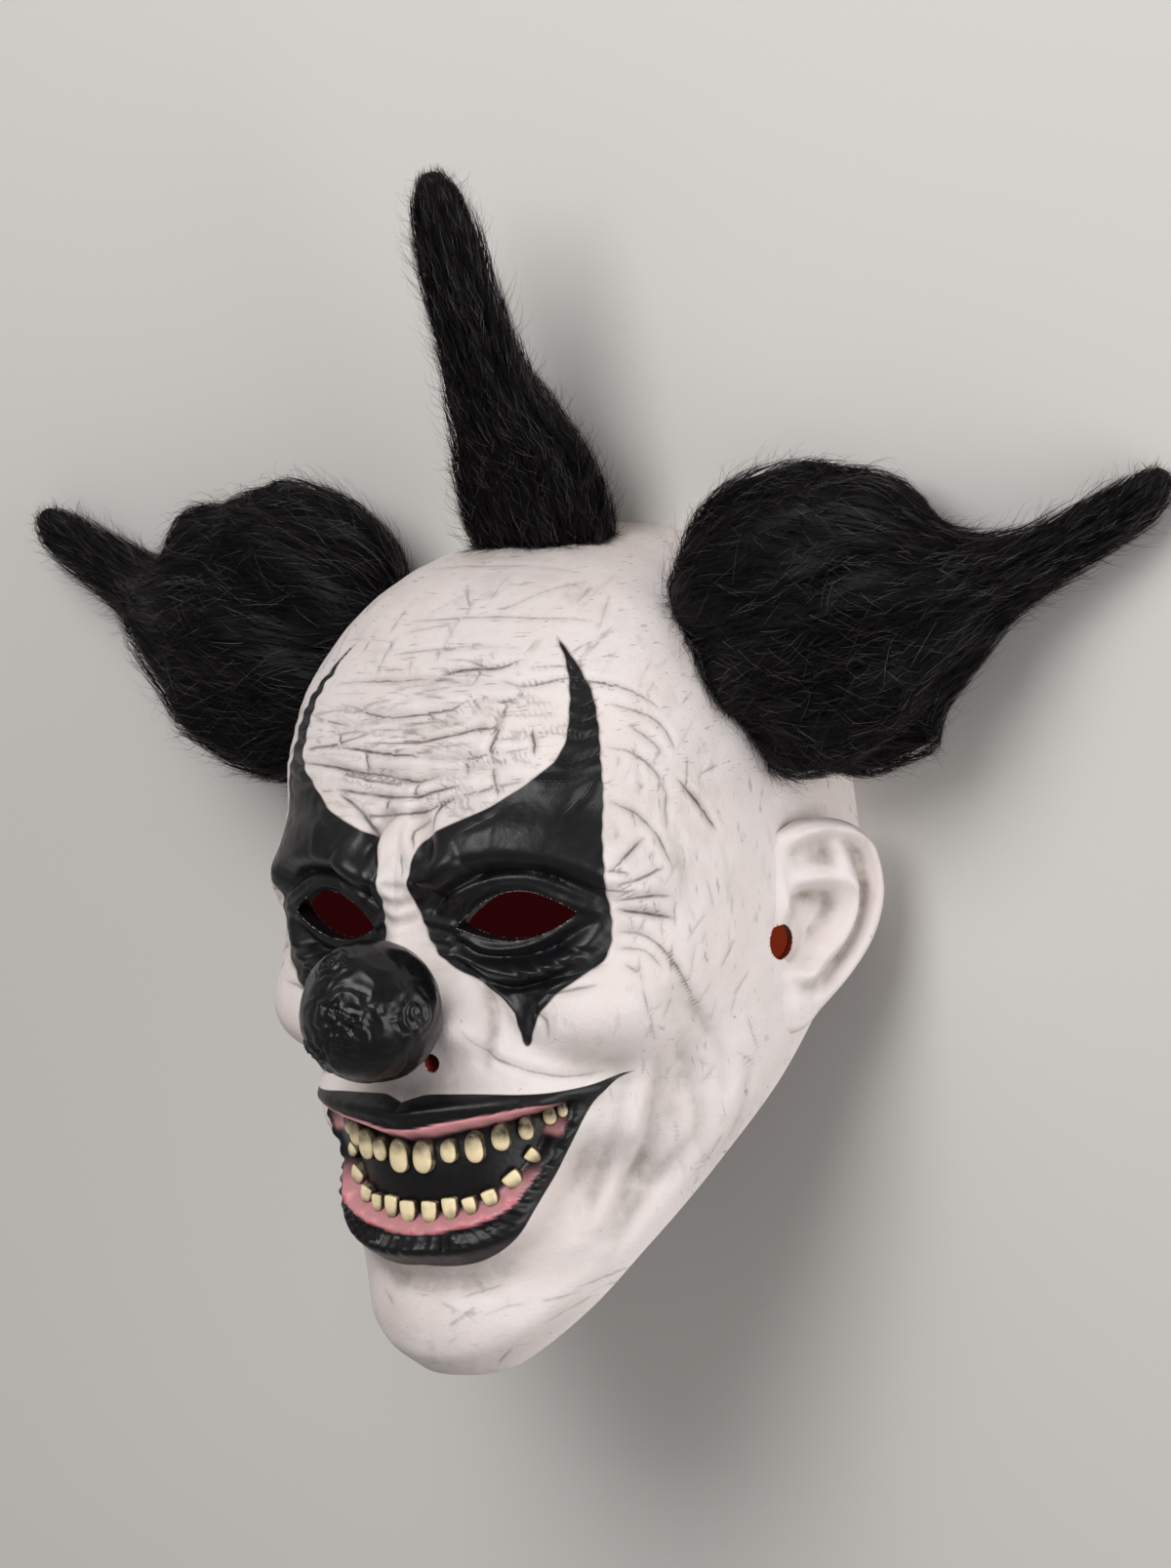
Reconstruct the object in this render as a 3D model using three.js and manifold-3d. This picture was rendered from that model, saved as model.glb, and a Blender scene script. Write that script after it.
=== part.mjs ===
// Clown mask: a cast latex face, crown and ears, open at the back, with three glued-on fur tufts.
// Millimetres, +Z up. The mask lies on its back rim with the face up:
// +X is the wearer's left, +Y the crown, +Z the way the face looks.
// Shapes are drawn in face coordinates, where y is measured from the line through the eyes.
import * as THREE from 'three';
import { mergeVertices } from 'three/addons/utils/BufferGeometryUtils.js';
import Module from 'manifold-3d';

const wasm = await Module();
wasm.setup();

// Driving sizes of the head.
const CROWN_Y = 101;
const CHIN_Y = -151;
const WALL = 3;
// Level sections are boxy ellipses: their power at the forehead, at the cheeks and at the chin.
const FOREHEAD_POWER = 2.8;
const CHEEK_POWER = 2.6;
const CHIN_POWER = 2.2;
// The back rim is flat from the crown down to this height, then rises forward along the jaw.
const BEND_Y = -15;
const JAW_ANGLE = THREE.MathUtils.degToRad(45);
// Half width of the head at each height, and how far its front stands above the rim plane.
const FRONT_OUTLINE = [[CROWN_Y, 0], [97.5, 34], [89, 53], [75, 68], [55, 79], [30, 84.5], [0, 85.5],
  [-30, 85.5], [-63, 83], [-90, 76], [-110, 68], [-128, 58], [-141, 46], [CHIN_Y, 0]];
const SIDE_PROFILE = [[CROWN_Y, 0], [99.8, 42], [96.5, 59], [90, 74], [79, 89], [62, 105], [40, 117],
  [15, 121], [-10, 121], [-35, 124], [-60, 127], [-85, 128], [-108, 130], [-124, 134], [-138, 132],
  [-146, 114], [CHIN_Y, 0]];

// Nose ball, eye openings, nostrils and ear openings.
const NOSE_RADIUS = 21.3;
const NOSE_CENTRE = [0, -22.3, 151.7];
const NOSE_NECK_RADIUS = 9;
const EYE_INNER = [16, -2.8];
const EYE_OUTER = [49.5, -0.5];
const EYE_RISE = 9;
const EYE_DROP = 6.2;
const NOSTRIL_RADIUS = 2.6;
const NOSTRIL = [[9, -55, 148], [6.5, -34, 122]];
const EAR_HOLE_RADIUS = 3.6;
const EAR_HOLE = [[92, -24, 54], [66, -22, 40]];

// Mouth: the inner edge of the lips on one side of the face, and how deep the gums lie behind it.
const MOUTH_CORNER = [44.8, -57.1];
const UPPER_LIP_EDGE = [[0, -61.5], [5.9, -60.9], [13.1, -59.2], [23.3, -57.6], [34.1, -56]];
const LOWER_LIP_EDGE = [[0, -94], [8.7, -93.2], [18.6, -90.6], [26.3, -86.5], [31.5, -80.1], [38, -71.7]];
const MOUTH_DEPTH = 6;
// A tooth stands this far out of the gum, its flat front a little less, and its root goes as deep.
const TOOTH_CROWN = 3.4;
const TOOTH_FRONT = 2.4;
const TOOTH_ROOT = 2.5;
const TOOTH_CORNER = 0.62;
const TOOTH_TAPER = 0.16;
// The teeth of one side: place across and along the face, width, height and lean in degrees.
const UPPER_TEETH = [[3.9, -70.1, 7.2, 10.8, 0], [11.1, -68.5, 5.9, 7.8, 0], [17.7, -67.8, 6.8, 9.6, 0],
  [24.5, -65.4, 6.4, 8.6, 0], [31, -63.8, 5.5, 7.8, 0], [37.5, -61.1, 4.9, 6.8, 0],
  [41, -59.4, 3.5, 5.4, 0]];
const LOWER_TEETH = [[3.2, -88.6, 6, 7.4, 0], [8.7, -87.2, 5.4, 7, 4], [14, -86.8, 4.9, 5.6, 8],
  [19.3, -85.1, 5.8, 5.8, 16], [25.8, -80, 6, 5.6, 32], [32, -73.1, 4.8, 4.8, 42]];

// Ears: the outline in the plane of the ear, u backwards from the opening and v up.
const EAR_ORIGIN = [82, -24, 48];
const EAR_FLARE = Math.atan2(18, 32);
const EAR_OUTLINE = [[2, 33], [9, 36], [17, 36], [24, 34.5], [30, 31], [34.5, 25.5], [36.7, 17], [36.8, 7],
  [32, -4], [23, -13.5], [13.5, -21], [5, -27.5], [-3, -27], [-6, -18], [-6, -4], [-4, 12], [-1, 25]];
const EAR_BACK = 5;

// Fur tufts: points of the middle line with the half width across and along the head there.
const SIDE_TUFT = [[60, 63, 26, 20, 16], [70, 66.5, 30, 39, 26], [84, 70, 32.5, 44.5, 29],
  [100, 72.5, 33, 46.5, 29], [114, 75, 32, 43.5, 28], [127, 78, 30, 39, 26], [140, 79.5, 26.5, 25, 22],
  [152, 82.5, 21.5, 14.5, 17.5], [166, 87, 17, 10, 13], [181, 94, 13.5, 8.5, 10.5], [195, 101, 11, 7.5, 8.5],
  [204, 107, 9.5, 5.5, 6.5], [208, 112, 8.5, 2, 2.5]];
const TOP_TUFT = [[0, 88, 26, 16, 10], [0, 97, 28, 23, 13], [0, 110, 32, 24, 15], [0, 124, 36, 22, 15],
  [0, 136, 40.5, 18.5, 14], [0, 149, 48, 14, 12], [0, 162, 53, 11.5, 11], [0, 178, 58, 11, 10],
  [0, 196, 63, 10, 9], [0, 211, 66.5, 7, 7], [0, 220, 68.5, 2, 2]];
const LOCK_COUNT = 7;
const LOCK_DEPTH = 0.09;
const LOCK_TWIST = 0.9;
const GLUE_GAP = 1;

// Fineness of the facets: spokes round the face and rings out to the rim.
const OUTER_SPOKES = 80;
const OUTER_RINGS = 24;
const HOLLOW_SPOKES = 34;
const HOLLOW_RINGS = 9;
const SEAT_SPOKES = 48;
const SEAT_RINGS = 15;
const TUFT_SIDES = 21;
// Halvings of the search for a point on the head.
const SEARCH_STEPS = 30;

const LATEX = new THREE.MeshStandardMaterial({ color: '#E6DEDA', roughness: 0.5, metalness: 0 });
const FUR = new THREE.MeshStandardMaterial({ color: '#0E0D0F', roughness: 0.85, metalness: 0 });

const smoothstep = THREE.MathUtils.smoothstep;
const vector = (list) => new THREE.Vector3(...list);

// A curve through [place, size] points that leaves its two ends square to the axis.
function roundCurve(points) {
  const list = [...points].sort((a, b) => a[0] - b[0]);
  const at = list.map((p) => p[0]);
  const square = list.map((p) => p[1] ** 2);
  const step = at.slice(1).map((a, i) => a - at[i]);
  const slope = step.map((h, i) => (square[i + 1] - square[i]) / h);
  const tangent = square.map((_, i) => {
    if (i === 0) return slope[0];
    if (i === slope.length) return slope[i - 1];
    if (slope[i - 1] * slope[i] <= 0) return 0;
    const before = 2 * step[i] + step[i - 1];
    const after = step[i] + 2 * step[i - 1];
    return (before + after) / (before / slope[i - 1] + after / slope[i]);
  });
  return (place) => {
    const p = THREE.MathUtils.clamp(place, at[0], at.at(-1));
    let i = 0;
    while (i < step.length - 1 && p > at[i + 1]) i += 1;
    const t = (p - at[i]) / step[i];
    const value = (1 + 2 * t) * (1 - t) ** 2 * square[i] + t * (1 - t) ** 2 * step[i] * tangent[i]
      + t * t * (3 - 2 * t) * square[i + 1] + t * t * (t - 1) * step[i] * tangent[i + 1];
    return Math.sqrt(Math.max(value, 0));
  };
}

const halfWidth = roundCurve(FRONT_OUTLINE);
const frontDepth = roundCurve(SIDE_PROFILE);

// 1 on the plain head, less inside it.
function headLevel(p) {
  if (p.y >= CROWN_Y || p.y <= CHIN_Y) return 9;
  const power = CHEEK_POWER + (FOREHEAD_POWER - CHEEK_POWER) * smoothstep(p.y, 10, 40)
    + (CHIN_POWER - CHEEK_POWER) * smoothstep(-p.y, 35, 85);
  const across = Math.abs(p.x) / Math.max(halfWidth(p.y), 1e-3);
  const forward = Math.max(p.z, 0) / Math.max(frontDepth(p.y), 1e-3);
  return (across ** power + forward ** power) ** (1 / power);
}

const HUB = new THREE.Vector3(0, BEND_Y, 0);
const FORWARD = new THREE.Vector3(0, 0, 1);

// The point where a straight line from inside the head leaves the plain head.
function leaveHead(from, direction, farthest) {
  let near = 0;
  let far = farthest;
  for (let i = 0; i < SEARCH_STEPS; i += 1) {
    const middle = (near + far) / 2;
    if (headLevel(from.clone().addScaledVector(direction, middle)) < 1) near = middle;
    else far = middle;
  }
  return from.clone().addScaledVector(direction, near);
}

const plainHead = (direction) => leaveHead(HUB, direction, CROWN_Y - CHIN_Y);

// The direction of a spoke (angle about +Z) at a share of the way from the middle of the face to the rim.
function spoke(angle, share) {
  const down = Math.max(-Math.sin(angle), 0);
  const rimTilt = Math.atan2(1, down * Math.tan(JAW_ANGLE));
  const tilt = rimTilt * share;
  const sideways = Math.sin(tilt);
  return new THREE.Vector3(sideways * Math.cos(angle), sideways * Math.sin(angle), Math.cos(tilt));
}

function distanceToSegment(x, y, a, b) {
  const dx = b.x - a.x;
  const dy = b.y - a.y;
  const t = THREE.MathUtils.clamp(((x - a.x) * dx + (y - a.y) * dy) / (dx * dx + dy * dy), 0, 1);
  return { distance: Math.hypot(x - a.x - t * dx, y - a.y - t * dy), share: t };
}

function splinePoints(list, count) {
  return new THREE.SplineCurve(list.map((p) => new THREE.Vector2(...p))).getPoints(count);
}

// Nearest distance to an open line, and how far along it that is, from 0 to 1.
function nearestOnLine(x, y, line) {
  let best = { distance: Infinity, share: 0 };
  for (let i = 0; i < line.length - 1; i += 1) {
    const hit = distanceToSegment(x, y, line[i], line[i + 1]);
    if (hit.distance >= best.distance) continue;
    best = { distance: hit.distance, share: (i + hit.share) / (line.length - 1) };
  }
  return best;
}

// Distance inside a closed outline, negative outside it.
function insideDistance(x, y, outline) {
  let within = false;
  let distance = Infinity;
  outline.forEach((a, i) => {
    const b = outline[(i + 1) % outline.length];
    distance = Math.min(distance, distanceToSegment(x, y, a, b).distance);
    if ((a.y > y) !== (b.y > y) && x < ((b.x - a.x) * (y - a.y)) / (b.y - a.y) + a.x) within = !within;
  });
  return within ? distance : -distance;
}

function mouthOutline() {
  const upper = splinePoints([...UPPER_LIP_EDGE, MOUTH_CORNER], 12);
  const lower = splinePoints([MOUTH_CORNER, ...[...LOWER_LIP_EDGE].reverse()], 16).slice(1);
  const right = [...upper, ...lower];
  const left = right.slice(1, -1).reverse().map((p) => new THREE.Vector2(-p.x, p.y));
  return [...right, ...left];
}

const MOUTH = mouthOutline();

// Soft swellings and hollows: centre, size each way, height.
const SWELLINGS = [
  [[33, 1], [23, 12], -3], // eye socket
  [[33, 1], [16, 8], 3], // eyelids
  [[0, -30], [15, 12], 13], // body of the nose
  [[17, -33], [7.5, 8], 9], // wing of the nose
  [[0, -74], [40, 33], 15], // muzzle under the nose
  [[0, -80], [30, 20], 3], // front of the muzzle
  [[45, -82], [13, 14], -11], // hollow beside the mouth
  [[54, -54], [13, 12], -7], // hollow at the corner of the mouth
  [[52, -32], [18, 15], 10], // cheek
  [[64, -12], [14, 18], 3], // cheekbone
  [[0, -128], [32, 17], 8], // chin
  [[70, 34], [18, 20], -2], // temple
  [[12, 62], [22, 18], 2], // forehead boss
];

// Ridges and furrows along a line: the line, half width, height at its start, middle and end.
const FOLDS = [
  [[[6, 15], [16, 22], [32, 24], [48, 19], [60, 7]], 9, [4, 10, 6]], // brow
  [[[0, 34], [0, 16], [0, 0], [0, -16]], 8.5, [3, 10, 20]], // bridge of the nose
  [[[15, -12], [28, -17], [42, -16], [54, -8]], 4, [2, 4, 1]], // bag under the eye
  [[[13, 4], [24, 11.5], [38, 12.5], [52, 5]], 3, [1, 3, 1]], // upper lid
  [[[23, -27], [34.5, -37.7], [46, -44.5], [56, -48.5]], 4.5, [-3, -2, -1]], // fold from the nose
  [[[65, -25], [70.3, -40.3], [67.7, -57.4], [60, -74.8], [51.6, -92], [42.8, -107.4]], 5,
    [-1, -5, -1]], // smile fold
  [[[61.5, -55.8], [55.8, -69.4], [49.6, -86], [40.9, -100.7]], 5, [2, 4, 1]], // roll beside the mouth
  [[[77, -46], [72, -63], [65, -80.5], [56.8, -97.4]], 5.5, [1, 3, 1]], // roll behind the smile fold
  [[[0, -57.2], [6.3, -56.4], [13.1, -55.6], [25.3, -54.7], [37, -54], [49.4, -54.2]], 3.8,
    [7, 6, 2]], // upper lip
  [[[50.3, -56.4], [44, -65.5], [37.4, -77.5], [31, -86.1], [24.2, -93.8], [13.5, -98.8], [0, -99.7]], 4.8,
    [2, 3.5, 8.5]], // lower lip
  [[[0, -63.3], [13.3, -61.2], [27.8, -58.8], [38.8, -57]], 2.4, [3, 3, 1.5]], // upper gum
  [[[0, -91.8], [10.2, -91], [19.4, -88], [26.2, -83.8], [32, -77]], 2.6, [3, 3, 1]], // lower gum
  [[[0, -111.8], [14, -110.8], [25, -105.4]], 4, [-3, -2, 0]], // crease above the chin
  [[[0, 42], [18, 45], [34, 41]], 3.4, [-2.2, -2, 0]], // forehead furrows
  [[[0, 55], [20, 57], [38, 52]], 3.4, [-2.2, -2, 0]],
  [[[0, 68], [18, 69], [34, 65]], 3.4, [-2, -1.6, 0]],
  [[[3.5, 33], [9, 26], [12, 17]], 2.4, [-1, -3, -1]], // frown furrow
].map(([points, width, heights]) => [splinePoints(points, 20), width, heights]);

// How far the surface stands off the plain head, at a place seen from the front.
function relief(px, y) {
  const x = Math.abs(px);
  let height = 0;
  SWELLINGS.forEach(([centre, size, by]) => {
    const near = Math.exp(-(((x - centre[0]) / size[0]) ** 2) - ((y - centre[1]) / size[1]) ** 2);
    const far = Math.exp(-(((x + centre[0]) / size[0]) ** 2) - ((y - centre[1]) / size[1]) ** 2);
    height += by * Math.max(near, far);
  });
  FOLDS.forEach(([line, width, [start, middle, end]]) => {
    const hit = nearestOnLine(x, y, line);
    const s = hit.share;
    const tall = start * (1 - s) * (1 - 2 * s) + middle * 4 * s * (1 - s) + end * s * (2 * s - 1);
    height += tall * Math.exp(-((hit.distance / width) ** 2));
  });
  return height - MOUTH_DEPTH * smoothstep(insideDistance(px, y, MOUTH), -0.5, 4);
}

// The outward direction of the plain head at a point.
function headNormal(p) {
  const e = 0.2;
  const slope = ['x', 'y', 'z'].map((axis) => {
    const more = p.clone();
    const less = p.clone();
    more[axis] += e;
    less[axis] -= e;
    return Math.min(headLevel(more), 2) - Math.min(headLevel(less), 2);
  });
  return vector(slope).normalize();
}

// A closed solid from rings of points, each ring with the same number of points, and two end points.
function ringSolid(first, rings, last) {
  const count = rings[0].length;
  const points = [first, ...rings.flat(), last];
  const index = [];
  const at = (ring, i) => 1 + ring * count + (i % count);
  for (let i = 0; i < count; i += 1) {
    index.push(0, at(0, i), at(0, i + 1));
    for (let ring = 0; ring < rings.length - 1; ring += 1) {
      const [a, b, c, d] = [at(ring, i), at(ring + 1, i), at(ring + 1, i + 1), at(ring, i + 1)];
      const shorter = points[a].distanceTo(points[c]) < points[b].distanceTo(points[d]);
      if (shorter) index.push(a, b, c, a, c, d);
      else index.push(a, b, d, b, c, d);
    }
    index.push(points.length - 1, at(rings.length - 1, i + 1), at(rings.length - 1, i));
  }
  return solidOf(points.flatMap((p) => [p.x, p.y, p.z]), index);
}

function solidOf(positions, index) {
  const mesh = new wasm.Mesh({
    numProp: 3,
    vertProperties: new Float32Array(positions),
    triVerts: new Uint32Array(index),
  });
  return new wasm.Manifold(mesh);
}

function solidFromGeometry(geometry) {
  geometry.deleteAttribute('normal');
  geometry.deleteAttribute('uv');
  const merged = mergeVertices(geometry, 1e-4);
  return solidOf(merged.attributes.position.array, merged.index.array);
}

function geometryOf(solid) {
  const mesh = solid.getMesh();
  const geometry = new THREE.BufferGeometry();
  geometry.setAttribute('position', new THREE.BufferAttribute(mesh.vertProperties, 3));
  geometry.setIndex(new THREE.BufferAttribute(mesh.triVerts, 1));
  return geometry;
}

// Spokes stand closer together below, where the mouth is.
function spokeAngles(count) {
  const crowding = 0.32;
  return Array.from({ length: count }, (_, i) => {
    const turn = (i / count) * 2 * Math.PI;
    return -Math.PI / 2 + turn - crowding * Math.sin(turn);
  });
}

// Rings of the head's surface; settle(point, share) moves each point of the plain head.
function headRings(spokeCount, ringCount, settle) {
  const angles = spokeAngles(spokeCount);
  const rings = [];
  for (let i = 1; i <= ringCount; i += 1) {
    const share = (i / ringCount) * 0.74 + (i / ringCount) ** 3 * 0.26;
    rings.push(angles.map((angle) => {
      const p = plainHead(spoke(angle, share));
      return settle(p, headNormal(p), share);
    }));
  }
  return rings;
}

const awayFromRim = (share) => 1 - smoothstep(share, 0.9, 1);

function outerHead() {
  const middle = plainHead(FORWARD);
  middle.z += relief(0, middle.y);
  const rings = headRings(OUTER_SPOKES, OUTER_RINGS, (p, normal, share) => {
    if (share === 1) return p;
    return p.clone().addScaledVector(normal, relief(p.x, p.y) * awayFromRim(share));
  });
  return ringSolid(middle, rings, HUB);
}

// The hollow follows the deepest relief nearby, one wall behind it, and runs out past the rim.
function hollow() {
  const nearby = 5;
  const highest = 6;
  const overrun = 30;
  const turns = [0, 1, 2, 3, 4, 5].map((i) => i * Math.PI / 3);
  const places = turns.map((turn) => [nearby * Math.cos(turn), nearby * Math.sin(turn)]);
  const around = (p) => places.map(([x, y]) => relief(p.x + x, p.y + y));
  const least = (p) => Math.min(highest, relief(p.x, p.y), ...around(p));
  const rings = headRings(HOLLOW_SPOKES, HOLLOW_RINGS, (p, normal, share) => p.clone()
    .addScaledVector(normal, least(p) * awayFromRim(share) - WALL));
  const beyond = spokeAngles(HOLLOW_SPOKES).map((angle, i) => {
    const tilt = JAW_ANGLE * Math.max(-Math.sin(angle), 0);
    const away = new THREE.Vector3(0, -Math.sin(tilt), -Math.cos(tilt));
    return rings.at(-1)[i].clone().addScaledVector(away, overrun);
  });
  const middle = plainHead(FORWARD);
  middle.z -= WALL;
  const back = new THREE.Vector3(0, -Math.sin(JAW_ANGLE / 2), -Math.cos(JAW_ANGLE / 2));
  return ringSolid(middle, [...rings, beyond], HUB.clone().addScaledVector(back, overrun * 1.3));
}

function ball(centre, radius, around, down) {
  const geometry = new THREE.SphereGeometry(radius, around, down);
  geometry.rotateX(Math.PI / 2);
  geometry.translate(...centre);
  return solidFromGeometry(geometry);
}

// A straight round peg between two points, used for holes.
function peg([from, to], radius, sides) {
  const a = vector(from);
  const b = vector(to);
  const geometry = new THREE.CylinderGeometry(radius, radius, a.distanceTo(b), sides);
  const along = b.clone().sub(a).normalize();
  geometry.applyQuaternion(new THREE.Quaternion().setFromUnitVectors(new THREE.Vector3(0, 1, 0), along));
  geometry.translate(...a.add(b).multiplyScalar(0.5).toArray());
  return solidFromGeometry(geometry);
}

const mirrored = (solid) => solid.mirror([1, 0, 0]);

// An almond between the eye's two corners, cut straight through.
function eyeHole() {
  const [x0, y0] = EYE_INNER;
  const [x1, y1] = EYE_OUTER;
  const steps = 9;
  const fullness = 0.85;
  const edge = (bulge) => Array.from({ length: steps }, (_, i) => {
    const t = i / steps;
    const rise = bulge * Math.sin(Math.PI * t) ** fullness;
    return new THREE.Vector2(x0 + (x1 - x0) * t, y0 + (y1 - y0) * t + rise);
  });
  const corner = new THREE.Vector2(x1, y1);
  const shape = new THREE.Shape([...edge(-EYE_DROP), corner, ...edge(EYE_RISE).slice(1).reverse()]);
  const geometry = new THREE.ExtrudeGeometry(shape, { depth: 80, bevelEnabled: false });
  geometry.translate(0, 0, 70);
  return solidFromGeometry(geometry);
}

// The face's surface at a place seen from the front.
function surfaceAt(x, y) {
  const p = leaveHead(new THREE.Vector3(x, y, 0), FORWARD, CROWN_Y - CHIN_Y);
  const normal = headNormal(p);
  return { point: p.addScaledVector(normal, relief(x, y)), normal };
}

// One tooth: an eight-sided block with a crowned front, narrower at its root.
function tooth(x, y, wide, tall, lean, upper) {
  const { point, normal } = surfaceAt(x, y);
  const level = new THREE.Vector3(1, 0, -normal.x / Math.max(normal.z, 0.3)).normalize();
  const side = level.applyAxisAngle(normal, THREE.MathUtils.degToRad(lean));
  const up = new THREE.Vector3().crossVectors(normal, side).normalize();
  const out = new THREE.Vector3().crossVectors(side, up);
  const biting = upper ? -1 : 1;
  const c = TOOTH_CORNER;
  const outline = [[1, -c], [1, c], [c, 1], [-c, 1], [-1, c], [-1, -c], [-c, -1], [c, -1]];
  const place = (u, v, w) => point.clone().addScaledVector(side, (u * wide) / 2)
    .addScaledVector(up, (v * tall) / 2).addScaledVector(out, w);
  const narrow = (v) => 1 - TOOTH_TAPER * (1 - v * biting) / 2;
  const ring = (grow, w) => outline.map(([u, v]) => place(u * grow * narrow(v), v * grow, w));
  return ringSolid(place(0, 0, TOOTH_CROWN), [ring(0.92, TOOTH_FRONT), ring(1, -TOOTH_ROOT)],
    place(0, 0, -TOOTH_ROOT));
}

function teeth(sizes, upper) {
  return sizes.flatMap(([x, y, wide, tall, lean]) => [1, -1]
    .map((facing) => tooth(x * facing, y, wide, tall, lean * facing, upper)));
}

const EAR_FOLD = splinePoints([[12, -13], [19, -6], [22, 6], [20, 18], [13, 26]], 16);
const EAR_BRANCH = splinePoints([[21, 10], [14, 13], [7, 15]], 8);

// How far the ear's face stands above the ear's plane.
function earRelief(u, v, outline) {
  const edge = insideDistance(u, v, outline);
  const rim = 4.2 * Math.exp(-(((edge - 2) / 2.6) ** 2)) * smoothstep(v + u * 0.5, -18, -4);
  const fold = nearestOnLine(u, v, EAR_FOLD);
  const branch = nearestOnLine(u, v, EAR_BRANCH);
  const bowl = 7 * Math.exp(-(((u - 8) / 8) ** 2) - ((v - 1) / 11) ** 2);
  const flap = 4 * Math.exp(-(((u + 4) / 4) ** 2) - ((v + 1) / 6) ** 2);
  const ridges = 4 * Math.exp(-((fold.distance / 3) ** 2)) + 3 * Math.exp(-((branch.distance / 2.4) ** 2));
  return 1.5 + rim + ridges - bowl + flap;
}

function ear() {
  const outline = splinePoints([...EAR_OUTLINE, EAR_OUTLINE[0]], 22).slice(0, -1);
  const origin = vector(EAR_ORIGIN);
  const back = new THREE.Vector3(Math.sin(EAR_FLARE), 0, -Math.cos(EAR_FLARE));
  const up = new THREE.Vector3(0, 1, 0);
  const out = new THREE.Vector3(Math.cos(EAR_FLARE), 0, Math.sin(EAR_FLARE));
  const middle = new THREE.Vector2(12, 3);
  const place = (u, v, w) => origin.clone().addScaledVector(back, u).addScaledVector(up, v)
    .addScaledVector(out, w);
  const ring = (share, height) => outline.map((p) => {
    const q = middle.clone().lerp(p, share);
    return place(q.x, q.y, height(q.x, q.y));
  });
  const face = (u, v) => earRelief(u, v, outline);
  const rings = [0.25, 0.5, 0.66, 0.79, 0.9].map((share) => ring(share, face));
  rings.push(ring(1, (u, v) => face(u, v) - 3), ring(0.8, () => -EAR_BACK));
  const centre = place(middle.x, middle.y, face(middle.x, middle.y));
  return ringSolid(centre, rings.map((r) => [...r].reverse()), place(middle.x, middle.y, -EAR_BACK - 1));
}

// A tuft swept along its middle line, its outline grooved into locks that wind round it.
function tuft(stations) {
  const middle = stations.map(([x, y, z]) => new THREE.Vector3(x, y, z));
  const rings = stations.map(([, , , across, along], i) => {
    const before = middle[Math.max(i - 1, 0)];
    const after = middle[Math.min(i + 1, middle.length - 1)];
    const ahead = after.clone().sub(before).normalize();
    const side = new THREE.Vector3().crossVectors(FORWARD, ahead).normalize();
    const top = new THREE.Vector3().crossVectors(ahead, side);
    return Array.from({ length: TUFT_SIDES }, (_, k) => {
      const angle = -(k / TUFT_SIDES) * 2 * Math.PI;
      const lock = 1 + LOCK_DEPTH * Math.sin(LOCK_COUNT * angle + LOCK_TWIST * i) * Math.min(1, i / 2);
      return middle[i].clone().addScaledVector(side, across * lock * Math.cos(angle))
        .addScaledVector(top, along * lock * Math.sin(angle));
    });
  });
  return ringSolid(middle[0], rings, middle.at(-1));
}

// The head with a glue gap round it, to seat the tufts on, carried on below the rim.
function seat() {
  const below = -20;
  const lifted = (p, normal) => p.clone().addScaledVector(normal, GLUE_GAP);
  const rings = headRings(SEAT_SPOKES, SEAT_RINGS, lifted);
  const foot = rings.at(-1).map((p) => p.clone().setZ(p.z + below));
  return ringSolid(plainHead(FORWARD), [...rings, foot], HUB.clone().setZ(below));
}

function maskShell() {
  const [noseX, noseY, noseZ] = NOSE_CENTRE;
  const neck = [[noseX, noseY, noseZ - 37.5], [noseX, noseY, noseZ - 10]];
  const sideHoles = [eyeHole(), peg(NOSTRIL, NOSTRIL_RADIUS, 8), peg(EAR_HOLE, EAR_HOLE_RADIUS, 8)];
  const sideEar = ear();
  const added = [ball(NOSE_CENTRE, NOSE_RADIUS, 18, 12), sideEar, mirrored(sideEar),
    ...teeth(UPPER_TEETH, true), ...teeth(LOWER_TEETH, false)];
  const removed = [hollow(), ball(NOSE_CENTRE, NOSE_RADIUS - WALL, 12, 8), peg(neck, NOSE_NECK_RADIUS, 12),
    ...sideHoles, ...sideHoles.map(mirrored)];
  const solid = added.reduce((sum, piece) => sum.add(piece), outerHead());
  return removed.reduce((rest, piece) => rest.subtract(piece), solid);
}

const mask = new THREE.Group();

function addPiece(name, solid, material) {
  const piece = new THREE.Mesh(geometryOf(solid), material);
  piece.name = name;
  mask.add(piece);
}

const headSeat = seat();
const leftTuft = tuft(SIDE_TUFT).subtract(headSeat);
addPiece('mask_shell', maskShell(), LATEX);
addPiece('hair_tuft_left', leftTuft, FUR);
addPiece('hair_tuft_right', mirrored(leftTuft), FUR);
addPiece('hair_tuft_top', tuft(TOP_TUFT).subtract(headSeat), FUR);

// The middle of the whole mask's length stands over the origin.
mask.position.y = -new THREE.Box3().setFromObject(mask).getCenter(new THREE.Vector3()).y;

export default mask;
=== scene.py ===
# Looks of a cast latex clown mask with three glued-on fur tufts.
# Shapes are worked out in face millimetres: +X the wearer's left, y measured from the line through
# the eyes towards the crown, +Z the way the face looks. They turn to metres when a mesh is made.
import math

import bpy
import numpy as np
from bpy.props import FloatProperty, FloatVectorProperty, IntProperty, PointerProperty
from mathutils import Matrix, Vector, noise


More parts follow.
